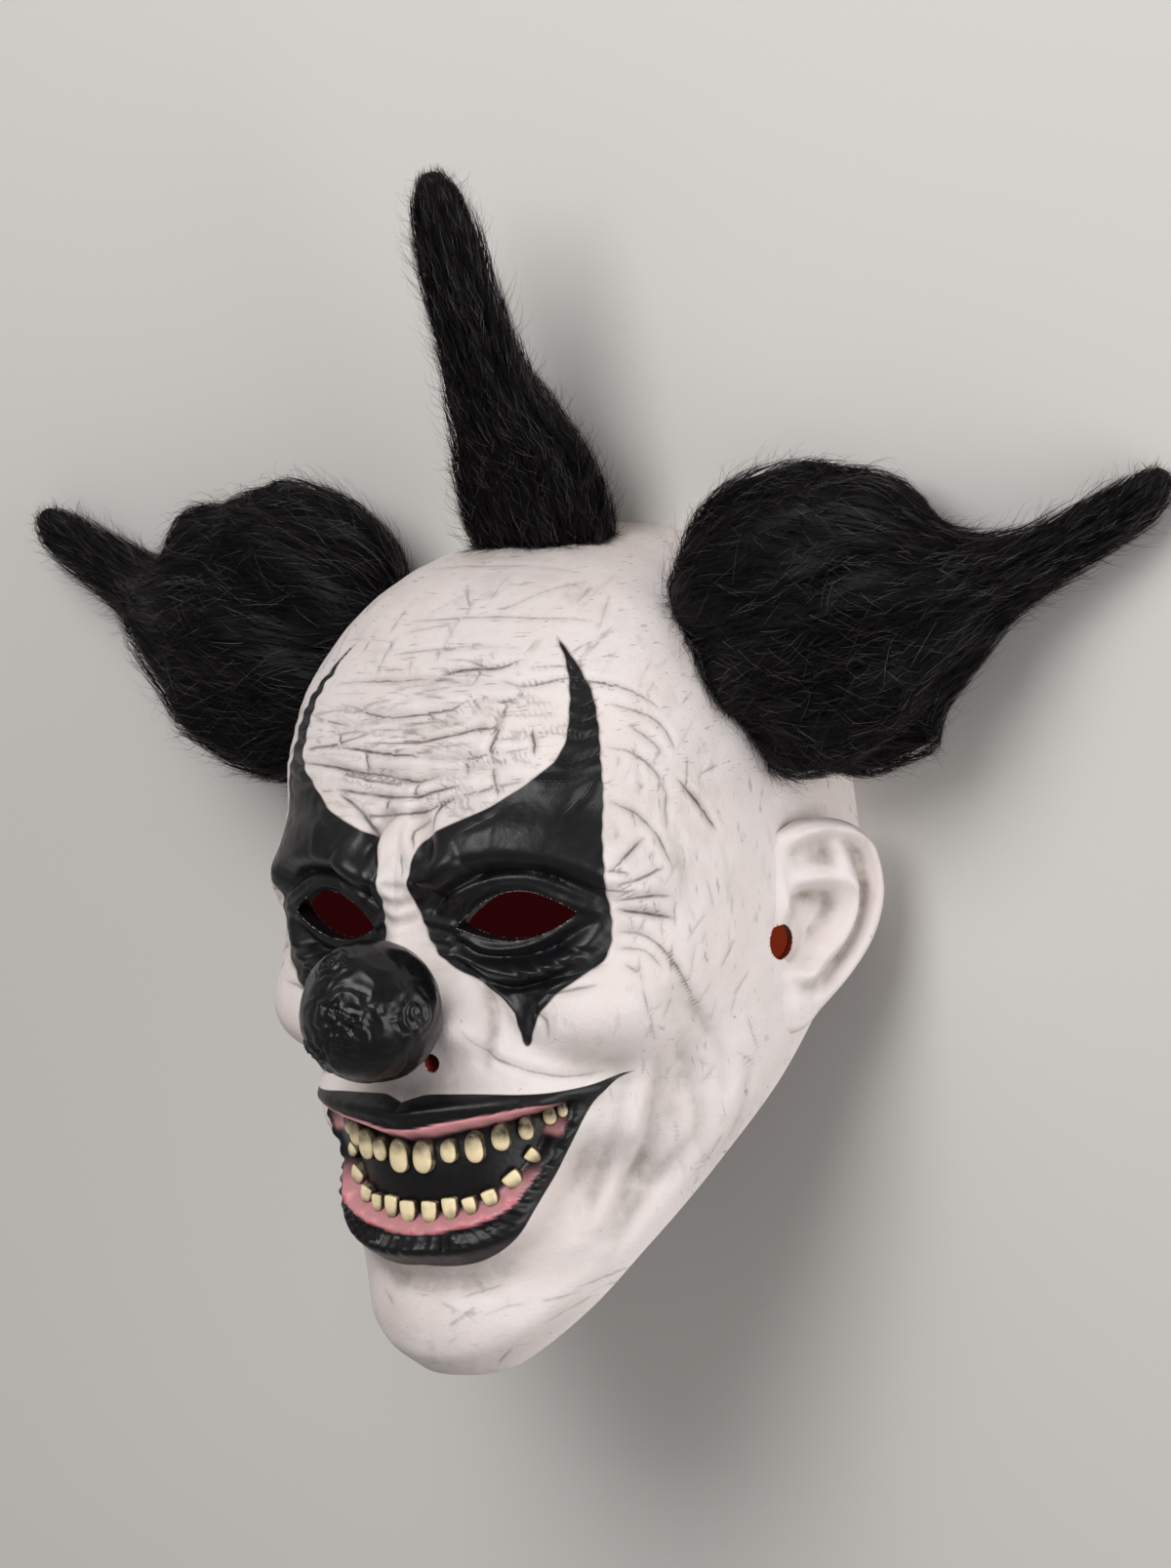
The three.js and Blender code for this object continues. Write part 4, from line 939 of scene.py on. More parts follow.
# Ears: the outline in the ear's own plane, u backwards from the opening and v up.
EAR_ORIGIN = np.array([82.0, -24.0, 48.0])
EAR_FLARE = math.atan2(18, 32)
EAR_OUTLINE = [(2, 33), (9, 36), (17, 36), (24, 34.5), (30, 31), (34.5, 25.5), (36.7, 17), (36.8, 7), (32, -4),
               (23, -13.5), (13.5, -21), (5, -27.5), (-3, -27), (-6, -18), (-6, -4), (-4, 12), (-1, 25)]
EAR_MIDDLE = np.array([12.0, 3.0])
EAR_BACK = 6.6
BOWL_CLEARANCE = 0.7
# The head is dented under each bowl: the dent's middle and half size along y and z, and its depth.
BOWL_DENT = (np.array([-20.0, 41.0]), np.array([11.0, 10.0]), 2.2)
CONCHA = [(2.5, 10), (4, 14.5), (8, 16.3), (15, 15.6), (20.5, 13.3), (22.3, 8.5), (19.5, 3), (12.6, -2), (5, -7.5),
          (-1, -7), (-2.2, -2), (-1, 5)]
# Ridges of the ear: the line, half width, height at its start, middle and end.
EAR_RIDGES = [
    ([(2, 12), (0, 20), (3, 29.5), (10, 33), (18, 33), (26, 31), (31.5, 26.5), (34, 19), (34, 9), (29.5, -2), (21, -12),
      (12, -19)], 2.7, (1.5, 4.6, 1.5)),  # rolled rim
    ([(6, -11), (13, -6), (20, -1), (24.5, 6), (25.2, 13), (23.5, 20), (21, 27)], 2.8, (2.5, 4.2, 1.8)),  # inner ridge
    ([(25, 14), (20, 17.3), (14, 18.6), (8, 18.8)], 2.2, (1.5, 2.6, 1.5)),  # lower branch
    ([(0.5, 22), (-0.5, 14), (0.5, 7), (4, 4)], 3, (1, 2, 1.2)),  # root of the rim in the bowl
    ([(-4, 3), (-4.4, -1), (-4, -6), (-2, -11)], 2.0, (1.5, 3.4, 1.5)),  # flap before the opening
    ([(3, -10), (6.5, -10.5), (10, -8.5)], 2.4, (1.2, 2.4, 1)),  # bump over the lobe
    ([(29.5, 23), (30.2, 14), (27.5, 4), (21, -6), (14, -13)], 2.1, (-1, -2.2, -1)),  # groove behind the ridge
    ([(15, 25), (19.5, 24)], 3.2, (-1.4, -2.2, -1.4)),  # hollow between the branches
]


def bowl_dent(points):
    middle, size, deep = BOWL_DENT
    off = np.linalg.norm((points[..., 1:] - middle) / size, axis=-1)
    return deep * smoothstep(1.3 - off, 0, 0.6) * (np.abs(points[..., 0]) > 60)


def ear_height(uv, outline):
    edge = inside_distance(uv, outline)
    height = 1.5 + fold_height_one_side(uv, EAR_RIDGES)
    bowl = smoothstep(inside_distance(uv, smooth_line([*CONCHA, CONCHA[0]], 60)[:-1]), -1.2, 4.5)
    lobe = 1.8 * bell((uv[:, 0] - 1) / 6) * bell((uv[:, 1] + 20) / 6)
    return height - 6.8 * bowl + lobe - 1.2 * bell(edge / 0.9)


def fold_height_one_side(points, folds):
    height = np.zeros(len(points))
    for line, width, (start, middle, end) in folds:
        distance, s = nearest_on_line(points, smooth_line(line, 24))
        tall = start * (1 - s) * (1 - 2 * s) + middle * 4 * s * (1 - s) + end * s * (2 * s - 1)
        height += tall * bell(distance / width)
    return height


def ear_piece(side, material):
    """One ear, its front edge feathered onto the head."""
    around = 112
    outline = smooth_line([*EAR_OUTLINE, EAR_OUTLINE[0]], around)[:-1]
    if side > 0:
        outline = outline[::-1]
    back = np.array([math.sin(EAR_FLARE), 0, -math.cos(EAR_FLARE)])
    up = np.array([0.0, 1.0, 0.0])
    out = np.array([math.cos(EAR_FLARE), 0, math.sin(EAR_FLARE)])
    shares = np.concatenate([np.linspace(0.03, 0.97, 34), [1.0, 1.0, 0.95, 0.82, 0.55]])
    sink = np.concatenate([np.zeros(34), [0.9, 2.6]])
    uv = EAR_MIDDLE + (outline[None] - EAR_MIDDLE) * shares[:, None, None]
    uv = np.vstack([EAR_MIDDLE[None], uv.reshape(-1, 2), EAR_MIDDLE[None]])
    face = ear_height(uv, outline)
    height = face.copy()
    front_count = 1 + 36 * around
    height[1:front_count] -= np.repeat(sink, around)
    height[front_count:] = -EAR_BACK
    height[front_count:front_count + around] = (face - 4.0)[front_count:front_count + around]
    points = EAR_ORIGIN + uv[:, :1] * back + uv[:, 1:] * up + height[:, None] * out
    away = points - HUB
    reach = np.linalg.norm(away, axis=1, keepdims=True)
    on_head = leave_head(HUB, away / reach)
    # The bowl stops just above the side of the head, so that the head doesn't show through it.
    above = reach[:front_count] - np.linalg.norm(on_head[:front_count] - HUB, axis=1, keepdims=True)
    clear = (above + np.sqrt(above ** 2 + 4 * BOWL_CLEARANCE ** 2)) / 2
    points[:front_count] += (clear - above) * away[:front_count] / reach[:front_count]
    on_head -= head_normal(on_head) * 0.5
    front_edge = -6 + 6 * smoothstep(uv[:, 1], 4, 30)
    free = smoothstep(uv[:, 0] - front_edge, 0, 8)
    points = on_head + (points - on_head) * free[:, None]
    rings = len(shares)
    faces = ring_faces(rings, around, 0, 1)
    last = 1 + (rings - 1) * around + np.arange(around)
    ear = add_mesh("ear", points * (side, 1, 1), faces + cap_fan(last, len(points) - 1), material)
    grid = face[1:front_count].reshape(36, around)
    # Painted shade in the ear's hollows: darker where the ear lies below the mean height around it.
    grime = np.zeros(len(points))
    grime[1:front_count] = np.clip((blur(grid, 4) - grid) / 1.6, 0, 0.8).ravel()
    grime[1:front_count] += np.clip((blur(grid, 9) - grid) / 4, 0, 0.5).ravel()
    fill_attributes(ear, grime=grime * 0.8)
    return ear


def black_ball_latex(colours):
    """Cast latex brushed with satin black: the crumpled relief shows as soft broken highlights."""
    material, tree = new_material("black_satin_latex")
    place = node(tree, "ShaderNodeTexCoord", outputs="Object")
    blotch = node(tree, "ShaderNodeTexNoise", {"Vector": place, "Scale": per_mm(6), "Detail": 5}, "Fac")
    worn, gloss = [node(tree, "ShaderNodeMapRange", {"Value": blotch, "From Min": low, "From Max": high,
                                                     "To Min": to_low, "To Max": to_high}, "Result")
                   for low, high, to_low, to_high in ((0.45, 0.8, 0, 0.25), (0.3, 0.7, 0.24, 0.36))]
    base = node(tree, "ShaderNodeMix", {0: worn, 6: rgba(colours.ball), 7: rgba(colours.thin_black)}, 2,
                data_type="RGBA")
    grain = node(tree, "ShaderNodeTexNoise", {"Vector": place, "Scale": per_mm(1.6), "Detail": 3}, "Fac")
    bump = node(tree, "ShaderNodeBump", {"Strength": 0.15, "Distance": 0.15 * MM, "Height": grain})
    shader = node(tree, "ShaderNodeBsdfPrincipled", {"Base Color": base, "Roughness": gloss, "Normal": bump, "IOR": 1.42})
    finish_material(tree, shader)
    return material


# Crumpled medallions of the nose ball: direction from its middle and angular radius.
CRUMPLES = [((0.17, 0.14, 0.98), 0.52), ((0.94, 0.09, 0.33), 0.36), ((-0.55, -0.5, 0.66), 0.4), ((-0.2, 0.85, 0.5), 0.3)]


class CLOWN_MASK_OT_nose(bpy.types.Operator):
    """Makes the hollow nose ball with its crumpled relief"""
    bl_idname = "clown_mask.nose"
    bl_label = "Nose ball"

    def execute(self, context):
        sizes = context.scene.mask_sizes
        radius = sizes.nose_radius / MM
        around, outer, inner = 168, 110, 24
        opening = math.pi - math.asin(NOSE_NECK_RADIUS / radius)
        tilt = np.concatenate([np.arange(1, outer + 1) / outer * opening, opening * (1 - np.arange(inner) / inner)])
        turn = np.arange(around) / around * 2 * math.pi
        ways = np.stack([np.sin(tilt)[:, None] * np.cos(turn), np.sin(tilt)[:, None] * np.sin(turn),
                         np.broadcast_to(np.cos(tilt)[:, None], (len(tilt), around))], -1).reshape(-1, 3)
        ways = np.vstack([FORWARD[None], ways, FORWARD[None]])
        outside = np.concatenate([[True], np.repeat(np.arange(len(tilt)) < outer, around), [False]])
        size = np.where(outside, radius, radius - sizes.wall / MM)
        size[outside] += np.array([ball_relief(Vector(w)) for w in ways[outside]]) * smoothstep(ways[outside, 2], -0.85, -0.6)
        points = NOSE_CENTRE + ways * size[:, None]
        rings = len(tilt)
        faces = ring_faces(rings, around, 0, 1)
        last = 1 + (rings - 1) * around + np.arange(around)
        ball = add_mesh("nose_ball", points, faces + cap_fan(last, len(points) - 1),
                        black_ball_latex(context.scene.mask_colours))
        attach(ball, BODY)
        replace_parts(ball, "mask_shell")
        return {"FINISHED"}


def ball_relief(way):
    """Height of the crumpled relief in one direction from the ball's middle."""
    bend = noise.noise_vector(way * 2.1) * 0.35
    rounded = [1 - math.hypot(noise.noise((way + bend * turn) * fine), 0.07) * 2.2
               for turn, fine in ((1, 2.6), (1.6, 5.2))]
    height = 0.4 * rounded[0] + 0.35 * noise.noise(way * 1.7)
    for middle, spread in CRUMPLES:
        off = (way - Vector(middle).normalized()).length
        if off > 1.6 * spread:
            continue
        weight = math.exp(-(off / spread) ** 4)
        ripple = math.sin((off + 0.14 * noise.noise((way + bend) * 4)) * 2 * math.pi / (0.5 * spread))
        height += weight * (0.42 * ripple + 0.7 * rounded[1] + 0.1)
    return height


def painted_teeth(colours):
    """Latex teeth painted cream and satin, mixed towards brown-grey where the root attribute is high: towards the root
    and the mouth's corners, and as painted shade along each tooth's rim.
    """
    material, tree = new_material("painted_latex_teeth")
    place = node(tree, "ShaderNodeTexCoord", outputs="Object")
    root = node(tree, "ShaderNodeAttribute", outputs="Fac", attribute_name="root")
    cloud = node(tree, "ShaderNodeTexNoise", {"Vector": place, "Scale": per_mm(3.5), "Detail": 5}, "Fac")
    uneven = node(tree, "ShaderNodeMapRange", {"Value": cloud, "From Min": 0.3, "From Max": 0.7,
                                               "To Min": -0.22, "To Max": 0.22}, "Result")
    stain_and_shade = node(tree, "ShaderNodeMath", {0: root, 1: uneven}, operation="ADD", use_clamp=True)
    base = node(tree, "ShaderNodeMix", {0: stain_and_shade, 6: rgba(colours.tooth), 7: rgba(colours.tooth_root)}, 2,
                data_type="RGBA")
    bump = node(tree, "ShaderNodeBump", {"Strength": 0.25, "Distance": 0.2 * MM, "Height": cloud})
    shader = node(tree, "ShaderNodeBsdfPrincipled", {"Base Color": base, "Roughness": 0.34, "Normal": bump, "IOR": 1.42})
    finish_material(tree, shader)
    return material


class CLOWN_MASK_OT_teeth(bpy.types.Operator):
    """Makes the upper and lower rows of teeth"""
    bl_idname = "clown_mask.teeth"
    bl_label = "Teeth"

    def execute(self, context):
        sizes = context.scene.mask_sizes
        material = painted_teeth(context.scene.mask_colours)
        draw = np.random.default_rng(8)
        for name, row, tall, biting in (("upper_teeth", UPPER_TEETH, sizes.upper_tooth, -1),
                                        ("lower_teeth", LOWER_TEETH, sizes.lower_tooth, 1)):
            scale = tall / MM / row[0][3]
            parts = [one_tooth(place, side, scale, biting, sizes.mouth_depth / MM, draw)
                     for place in row for side in (1, -1)]
            starts = np.cumsum([0] + [len(points) for points, _, _ in parts])
            faces = [[int(v + start) for v in face] for (_, own, _), start in zip(parts, starts) for face in own]
            teeth = add_mesh(name, np.vstack([points for points, _, _ in parts]), faces, material)
            store(teeth, "root", np.concatenate([root for _, _, root in parts]))
            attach(teeth, BODY)
            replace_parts(teeth, "mask_shell")
        return {"FINISHED"}


def one_tooth(place, side_of_face, scale, biting, mouth_depth, draw):
    """Points, faces and darkening of one tooth, darker towards the root and the mouth's corners and with painted shade
    along its rim: a crowned slab, rounder at its root.
    """
    x, y, wide, tall, lean = place
    x *= side_of_face
    around, rings = 30, 12
    foot = leave_head(np.array([x, y, 0.0]), FORWARD)
    normal = head_normal(foot[None])[0]
    foot = foot + normal * relief(np.array([[x, y]]), mouth_depth)[0]
    level = np.array([1.0, 0, -normal[0] / max(normal[2], 0.3)])
    level /= np.linalg.norm(level)
    lean = math.radians(lean) * side_of_face + draw.normal(0, 0.04)
    side = level * math.cos(lean) + np.cross(normal, level) * math.sin(lean)
    up = np.cross(normal, side)
    up /= np.linalg.norm(up)
    out = np.cross(side, up)
    wide, tall = wide * draw.uniform(0.95, 1.03), tall * scale * draw.uniform(0.95, 1.04)
    turn = -np.arange(around) / around * 2 * math.pi
    c, s = np.cos(turn), np.sin(turn)
    # The upper teeth are long ovals; the lower are shields, square at the biting edge and narrow at the root.
    power, taper, square_edge = (2.3, 0.16, 0.0) if biting < 0 else (2.5, 0.42, 0.6)
    size = (np.abs(c) ** power + np.abs(s) ** power) ** (-1 / power)
    u, v = c * size, s * size
    at_edge = smoothstep(v * biting, 0, 1)
    u = u + square_edge * at_edge * (np.sign(c) * np.minimum(np.abs(c) * 2.2, 1) - u)
    narrow = 1 - taper * (1 - v * biting) / 2
    outline = np.column_stack([u * narrow, v])
    share = np.arange(1, rings + 1) / rings
    crown, front, root = 3.2, 1.9, 2.5
    heights = front + (crown - front) * np.sqrt(np.maximum(1 - (share * 0.985) ** 3, 0))
    flat = (outline[None] * share[:, None, None]).reshape(-1, 2)
    flat = np.vstack([[(0, 0)], flat, outline, [(0, 0)]])
    rise = np.concatenate([[crown], np.repeat(heights, around), np.full(around, -root), [-root]])
    points = (foot + flat[:, :1] * wide / 2 * side + flat[:, 1:] * tall / 2 * up + rise[:, None] * out)
    faces = [f[::-1] for f in ring_faces(rings + 1, around, 0, 1)]
    last = 1 + rings * around + np.arange(around)
    faces += [f[::-1] for f in cap_fan(last, len(points) - 1)]
    to_root = (1 - flat[:, 1] * biting) / 2
    edge = np.concatenate([[0], np.repeat(share, around), np.ones(around), [1]])
    # Darker towards the mouth's corners, and painted shade along the rim where the tooth meets the gum.
    sides_darker = 0.3 * smoothstep(abs(x), 14, 30) * (1 if biting < 0 else 0.4)
    stain_and_shade = smoothstep(to_root + sides_darker, 0.35, 1.0) * 0.9 + 0.95 * smoothstep(edge, 0.9, 1.0)
    return points, faces, np.clip(stain_and_shade, 0, 1)


# Fur tufts: points of the middle line with the half width across and along the head there.
SIDE_TUFT = [(60, 63, 26, 20, 16), (70, 66.5, 30, 39, 26), (84, 70, 32.5, 44.5, 29), (100, 72.5, 33, 46.5, 29),
             (114, 75, 32, 43.5, 28), (127, 78, 30, 39, 26), (140, 79.5, 26.5, 25, 22), (152, 82.5, 21.5, 14.5, 17.5),
             (166, 87, 17, 10, 13), (181, 94, 13.5, 8.5, 10.5), (195, 101, 11, 7.5, 8.5), (204, 107, 9.5, 5.5, 6.5),
             (208, 112, 8.5, 2, 2.5)]
TOP_TUFT = [(0, 88, 26, 16, 10), (0, 97, 28, 23, 13), (0, 110, 32, 24, 15), (0, 124, 36, 22, 15),
            (0, 136, 40.5, 18.5, 14), (0, 149, 48, 14, 12), (0, 162, 53, 11.5, 11), (0, 178, 58, 11, 10),
            (0, 196, 63, 10, 9), (0, 211, 66.5, 7, 7), (0, 220, 68.5, 2, 2)]
LOCK_COUNT = 7
LOCK_DEPTH = 0.09
LOCK_TWIST = 0.9
GLUE_GAP = 1.0
STRAND_RINGS = 3


class Tuft:
    """The swept form of a tuft, read at a share of its length and an angle round it."""

    def __init__(self, stations):
        steps = 160
        fine = smooth_line(stations, steps)
        self.share = np.linspace(0, 1, steps + 1)
        self.middle = fine[:, :3]
        self.across, self.along = fine[:, 3], fine[:, 4]
        ahead = np.gradient(self.middle, axis=0)
        self.ahead = ahead / np.linalg.norm(ahead, axis=1, keepdims=True)
        side = np.cross(FORWARD, self.ahead)
        self.side = side / np.linalg.norm(side, axis=1, keepdims=True)
        self.top = np.cross(self.ahead, self.side)
        self.length = np.linalg.norm(np.diff(self.middle, axis=0), axis=1).sum()
        self.stations = len(stations) - 1

    def at(self, values, s):
        if values.ndim == 1:
            return np.interp(s, self.share, values)
        return np.stack([np.interp(s, self.share, values[:, k]) for k in range(values.shape[1])], -1)

    def surface(self, s, angle, lift=0.0):
        """Points on the locks' outside, lifted off it by some millimetres, and past the end where s is over 1."""
        place = s * self.stations
        lock = 1 + LOCK_DEPTH * np.sin(LOCK_COUNT * angle + LOCK_TWIST * place) * np.minimum(1, place / 2)
        past = np.maximum(s - 1, 0) * self.length
        c, d = np.cos(angle)[..., None], np.sin(angle)[..., None]
        side, top = self.at(self.side, s), self.at(self.top, s)
        across = (self.at(self.across, s) * lock)[..., None]
        along = (self.at(self.along, s) * lock)[..., None]
        out = side * c * along + top * d * across
        out /= np.maximum(np.linalg.norm(out, axis=-1, keepdims=True), 1e-6)
        return (self.at(self.middle, s) + side * across * c + top * along * d + out * np.asarray(lift)[..., None]
                + self.at(self.ahead, s) * past[..., None]), out


def above_head(points, gap):
    """Points pushed out of the head, so that they lie at least a gap above it."""
    inside = head_level(points) < 1
    away = points - HUB
    reach = np.linalg.norm(away, axis=-1, keepdims=True)
    on_head = leave_head(HUB, away / reach)
    lifted = on_head + head_normal(on_head) * gap
    close = inside & (points[..., 2] > 2)
    return np.where(close[..., None], lifted, points)


def tuft_core(name, form, material):
    """The dark body of a tuft, carved into locks that run along it."""
    around, rings = 80, 120
    share = np.arange(1, rings) / rings
    angle = -np.arange(around) / around * 2 * math.pi
    s, a = np.meshgrid(share, angle, indexing="ij")
    ripple = np.array([noise.noise(Vector((3.2 * math.cos(q), 3.2 * math.sin(q), 5 * p)))
                       + 0.6 * noise.noise(Vector((8 * math.cos(q), 8 * math.sin(q), 9 * p)))
                       for p, q in zip(s.ravel(), a.ravel())]).reshape(s.shape)
    size = form.at(form.along, s)
    grid, _ = form.surface(s, a, (ripple - 0.9) * np.minimum(1.6, size * 0.12))
    points = np.vstack([form.middle[:1], grid.reshape(-1, 3), form.middle[-1:]])
    faces = ring_faces(len(share), around, 0, 1)
    last = 1 + (len(share) - 1) * around + np.arange(around)
    core = add_mesh(name, points, faces + cap_fan(last, len(points) - 1), material)
    cut(core, head_seat(material), "DIFFERENCE")
    return core


def head_seat(material):
    """The head with the glue gap round it, to cut the tufts' undersides."""
    spokes, rings = 72, 24
    grid, normals, _ = head_grid(spokes, rings)
    points = (grid + normals * GLUE_GAP).reshape(-1, 3)
    below = points[-spokes:] - FORWARD * 30
    middle = leave_head(HUB, FORWARD)[None]
    stacked = np.vstack([middle, points, below, HUB[None] - FORWARD * 30])
    faces = ring_faces(rings + 1, spokes, 0, 1)
    last = 1 + rings * spokes + np.arange(spokes)
    return add_mesh("seat_cutter", stacked, faces + cap_fan(last, len(stacked) - 1), material)


def strand_paths(form, draw, number, reach, lift, wave, jitter):
    """Curved middle lines of strands that start on the tuft and run along it, (number, rings + 1, 3)."""
    weight = form.across + form.along + 6
    where = draw.random(number)
    cumulative = np.cumsum(weight) / weight.sum()
    start = np.interp(where, cumulative, form.share) * 0.97
    angle = draw.uniform(0, 2 * math.pi, number)
    t = np.linspace(0, 1, STRAND_RINGS + 1)[None]
    end = np.minimum(start + reach * draw.uniform(0.55, 1.25, number) / form.length,
                     1 + draw.uniform(-0.01, 0.02, number))
    s = start[:, None] + (end - start)[:, None] * t
    turn = angle[:, None] + jitter * draw.normal(0, 1, number)[:, None] * t
    rise = draw.uniform(0.15, 1, number)[:, None] ** 1.5 * lift
    height = -0.9 + (rise + 0.9) * np.sin(math.pi * 0.5 * t) ** 0.8
    paths, out = form.surface(s, turn, height)
    phase, phase2 = draw.uniform(0, 2 * math.pi, (2, number, 1))
    swing = wave * draw.uniform(0.2, 1, (number, 1))
    ahead = form.at(form.ahead, np.minimum(s, 1))
    sideways = np.cross(ahead, out)
    paths = paths + sideways * (swing * t * np.sin(phase + t * 5))[..., None]
    return paths + out * (0.6 * swing * t * np.sin(phase2 + t * 4))[..., None]


def strand_mesh(paths, radius, draw):
    """Points and faces of closed three-sided strands, tapered to a point."""
    number, stations = paths.shape[:2]
    rings = stations - 1
    ahead = np.gradient(paths, axis=1)
    ahead /= np.maximum(np.linalg.norm(ahead, axis=-1, keepdims=True), 1e-6)
    spin = draw.normal(0, 1, (number, 1, 3))
    side = np.cross(ahead, spin)
    side /= np.maximum(np.linalg.norm(side, axis=-1, keepdims=True), 1e-6)
    other = np.cross(ahead, side)
    taper = np.linspace(1, 0.35, rings)[None, :, None, None] * radius[:, None, None, None]
    turn = np.arange(3) / 3 * 2 * math.pi
    spread = (side[:, :rings, None] * np.cos(turn)[None, None, :, None]
              + other[:, :rings, None] * np.sin(turn)[None, None, :, None])
    ring_points = paths[:, :rings, None] + spread * taper
    each = 3 * rings + 1
    points = np.concatenate([ring_points.reshape(number, -1, 3), paths[:, -1:]], 1).reshape(-1, 3)
    own = [[2, 1, 0]]
    for ring in range(rings - 1):
        for k in range(3):
            a, b = 3 * ring + k, 3 * ring + (k + 1) % 3
            own.append([a, b, b + 3, a + 3])
    own += [[3 * rings - 3 + k, 3 * rings - 3 + (k + 1) % 3, 3 * rings] for k in range(3)]
    faces = []
    for start in range(0, number * each, each):
        faces += [[start + v for v in face] for face in own]
    along = np.tile(np.append(np.repeat(np.linspace(0, 0.9, rings), 3), 1.0), number)
    return points, faces, along, each


def acrylic_fur(fur):
    """Long-pile acrylic fur: near-black fibres with a soft sheen, a few grey ones that also stand in as painted glints,
    and brownish ends.
    """
    material, tree = new_material("black_acrylic_fur")
    along = node(tree, "ShaderNodeAttribute", outputs="Fac", attribute_name="along")
    tone = node(tree, "ShaderNodeAttribute", outputs="Fac", attribute_name="tone")
    end = node(tree, "ShaderNodeMath", {0: along, 1: tone}, operation="MULTIPLY")
    tip = node(tree, "ShaderNodeMapRange", {"Value": end, "From Min": 0.25, "From Max": 0.9, "To Max": 0.8}, "Result")
    base = node(tree, "ShaderNodeMix", {0: tip, 6: rgba(fur.fur), 7: rgba(fur.tip)}, 2, data_type="RGBA")
    # Lighter hairs, partly grey fibres and partly painted glints.
    grey = node(tree, "ShaderNodeMapRange", {"Value": tone, "From Min": 1.2, "From Max": 1.9, "To Max": 0.75}, "Result")
    base = node(tree, "ShaderNodeMix", {0: grey, 6: base, 7: rgba(fur.glint)}, 2, data_type="RGBA")
    shader = node(tree, "ShaderNodeBsdfPrincipled", {"Base Color": base, "Roughness": 0.5, "IOR": 1.45,
                                                     "Specular IOR Level": 0.2})
    finish_material(tree, shader)
    return material


def fur_piece(name, stations, share_of_count, mirrored, context, material):
    """One whole tuft: its carved core, combed strands, wavy grey hairs and frizz."""
    fur = context.scene.mask_fur
    draw = np.random.default_rng(fur.seed)
    form = Tuft(stations)
    core = tuft_core(name, form, material)
    # For each kind of hair: number, length, lift, wave, turn, thickness and tone from and to.
    kinds = ((fur.strands, fur.strand_length / MM, 2.4, 1.3, 0.07, 0.5, 1.1, 0.0, 0.8),
             (fur.grey_hairs, 9, 2.9, 1.4, 0.13, 0.24, 0.5, 1.15, 1.9), (fur.strays, 10, 8, 3.4, 0.22, 0.2, 0.4, 0.8, 1.2))
    paths, thick, tone = [], [], []
    for number, reach, lift, wave, turn, thinnest, thickest, dark, light in kinds:
        count = int(number * share_of_count)
        paths.append(strand_paths(form, draw, count, reach, lift, wave, turn))
        thick.append(draw.uniform(thinnest, thickest, count) * fur.thickness / MM / 2)
        tone.append(draw.uniform(dark, light, count))
    paths = above_head(np.concatenate(paths), 0.5)
    paths[..., 2] = np.maximum(paths[..., 2], 0.5)
    points, faces, along, each = strand_mesh(paths, np.concatenate(thick), draw)
    hairs = add_mesh(name + "_hairs", points, faces, material)
    store(hairs, "along", along)
    store(hairs, "tone", np.repeat(np.concatenate(tone), each))
    store(core, "along", np.zeros(len(core.data.vertices)))
    store(core, "tone", np.zeros(len(core.data.vertices)))
    bpy.ops.object.select_all(action="DESELECT")
    for piece in (hairs, core):
        piece.select_set(True)
    context.view_layer.objects.active = core
    bpy.ops.object.join()
    if mirrored:
        core.data.transform(Matrix.Scale(-1, 4, (1, 0, 0)))
        core.data.flip_normals()
    core.data.polygons.foreach_set("use_smooth", [True] * len(core.data.polygons))
    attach(core, BODY)
    return core


class CLOWN_MASK_OT_tufts(bpy.types.Operator):
    """Makes the three fur tufts"""
    bl_idname = "clown_mask.tufts"
    bl_label = "Fur tufts"

    def execute(self, context):
        material = acrylic_fur(context.scene.mask_fur)
        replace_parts(fur_piece("fur_left", SIDE_TUFT, 1, False, context, material), "hair_tuft_left")
        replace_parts(fur_piece("fur_right", SIDE_TUFT, 1, True, context, material), "hair_tuft_right")
        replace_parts(fur_piece("fur_top", TOP_TUFT, 0.75, False, context, material), "hair_tuft_top")
        return {"FINISHED"}


def studio_card(paint):
    """Matt painted studio board: no gloss, so the floor stays even."""
    material, tree = new_material("matt_studio_board")
    shader = node(tree, "ShaderNodeBsdfPrincipled", {"Base Color": rgba(paint), "Roughness": 0.9})
    finish_material(tree, shader)
    return material


def glowing_card(paint):
    """A card that glows one even colour whatever light falls on it, though it is no lamp: painted light and shade for
    the inside of the mask.
    """
    material, tree = new_material("glowing_painted_interior")
    shader = node(tree, "ShaderNodeEmission", {"Color": rgba(paint), "Strength": 1.0})
    finish_material(tree, shader)
    return material


FLOOR = [(-4000, -4000, 0), (4000, -4000, 0), (4000, 4000, 0), (-4000, 4000, 0)]
# Small glowing cards inside the mask paint its openings one even colour: dark red painted shade of the inside under the
# near eye and the far eye, and brick-red painted light under the ear.
NEAR_CARD = [(-80, -46, 0.5), (38, -46, 0.5), (38, 40, 0.5), (-80, 40, 0.5)]
FAR_CARD = [(-66, -20, 85), (-25, -20, 85), (-25, 12, 85), (-66, 12, 85)]
EAR_CARD = [(38, -46, 0.5), (62, -46, 0.5), (80, 0, 0.5), (38, 40, 0.5)]


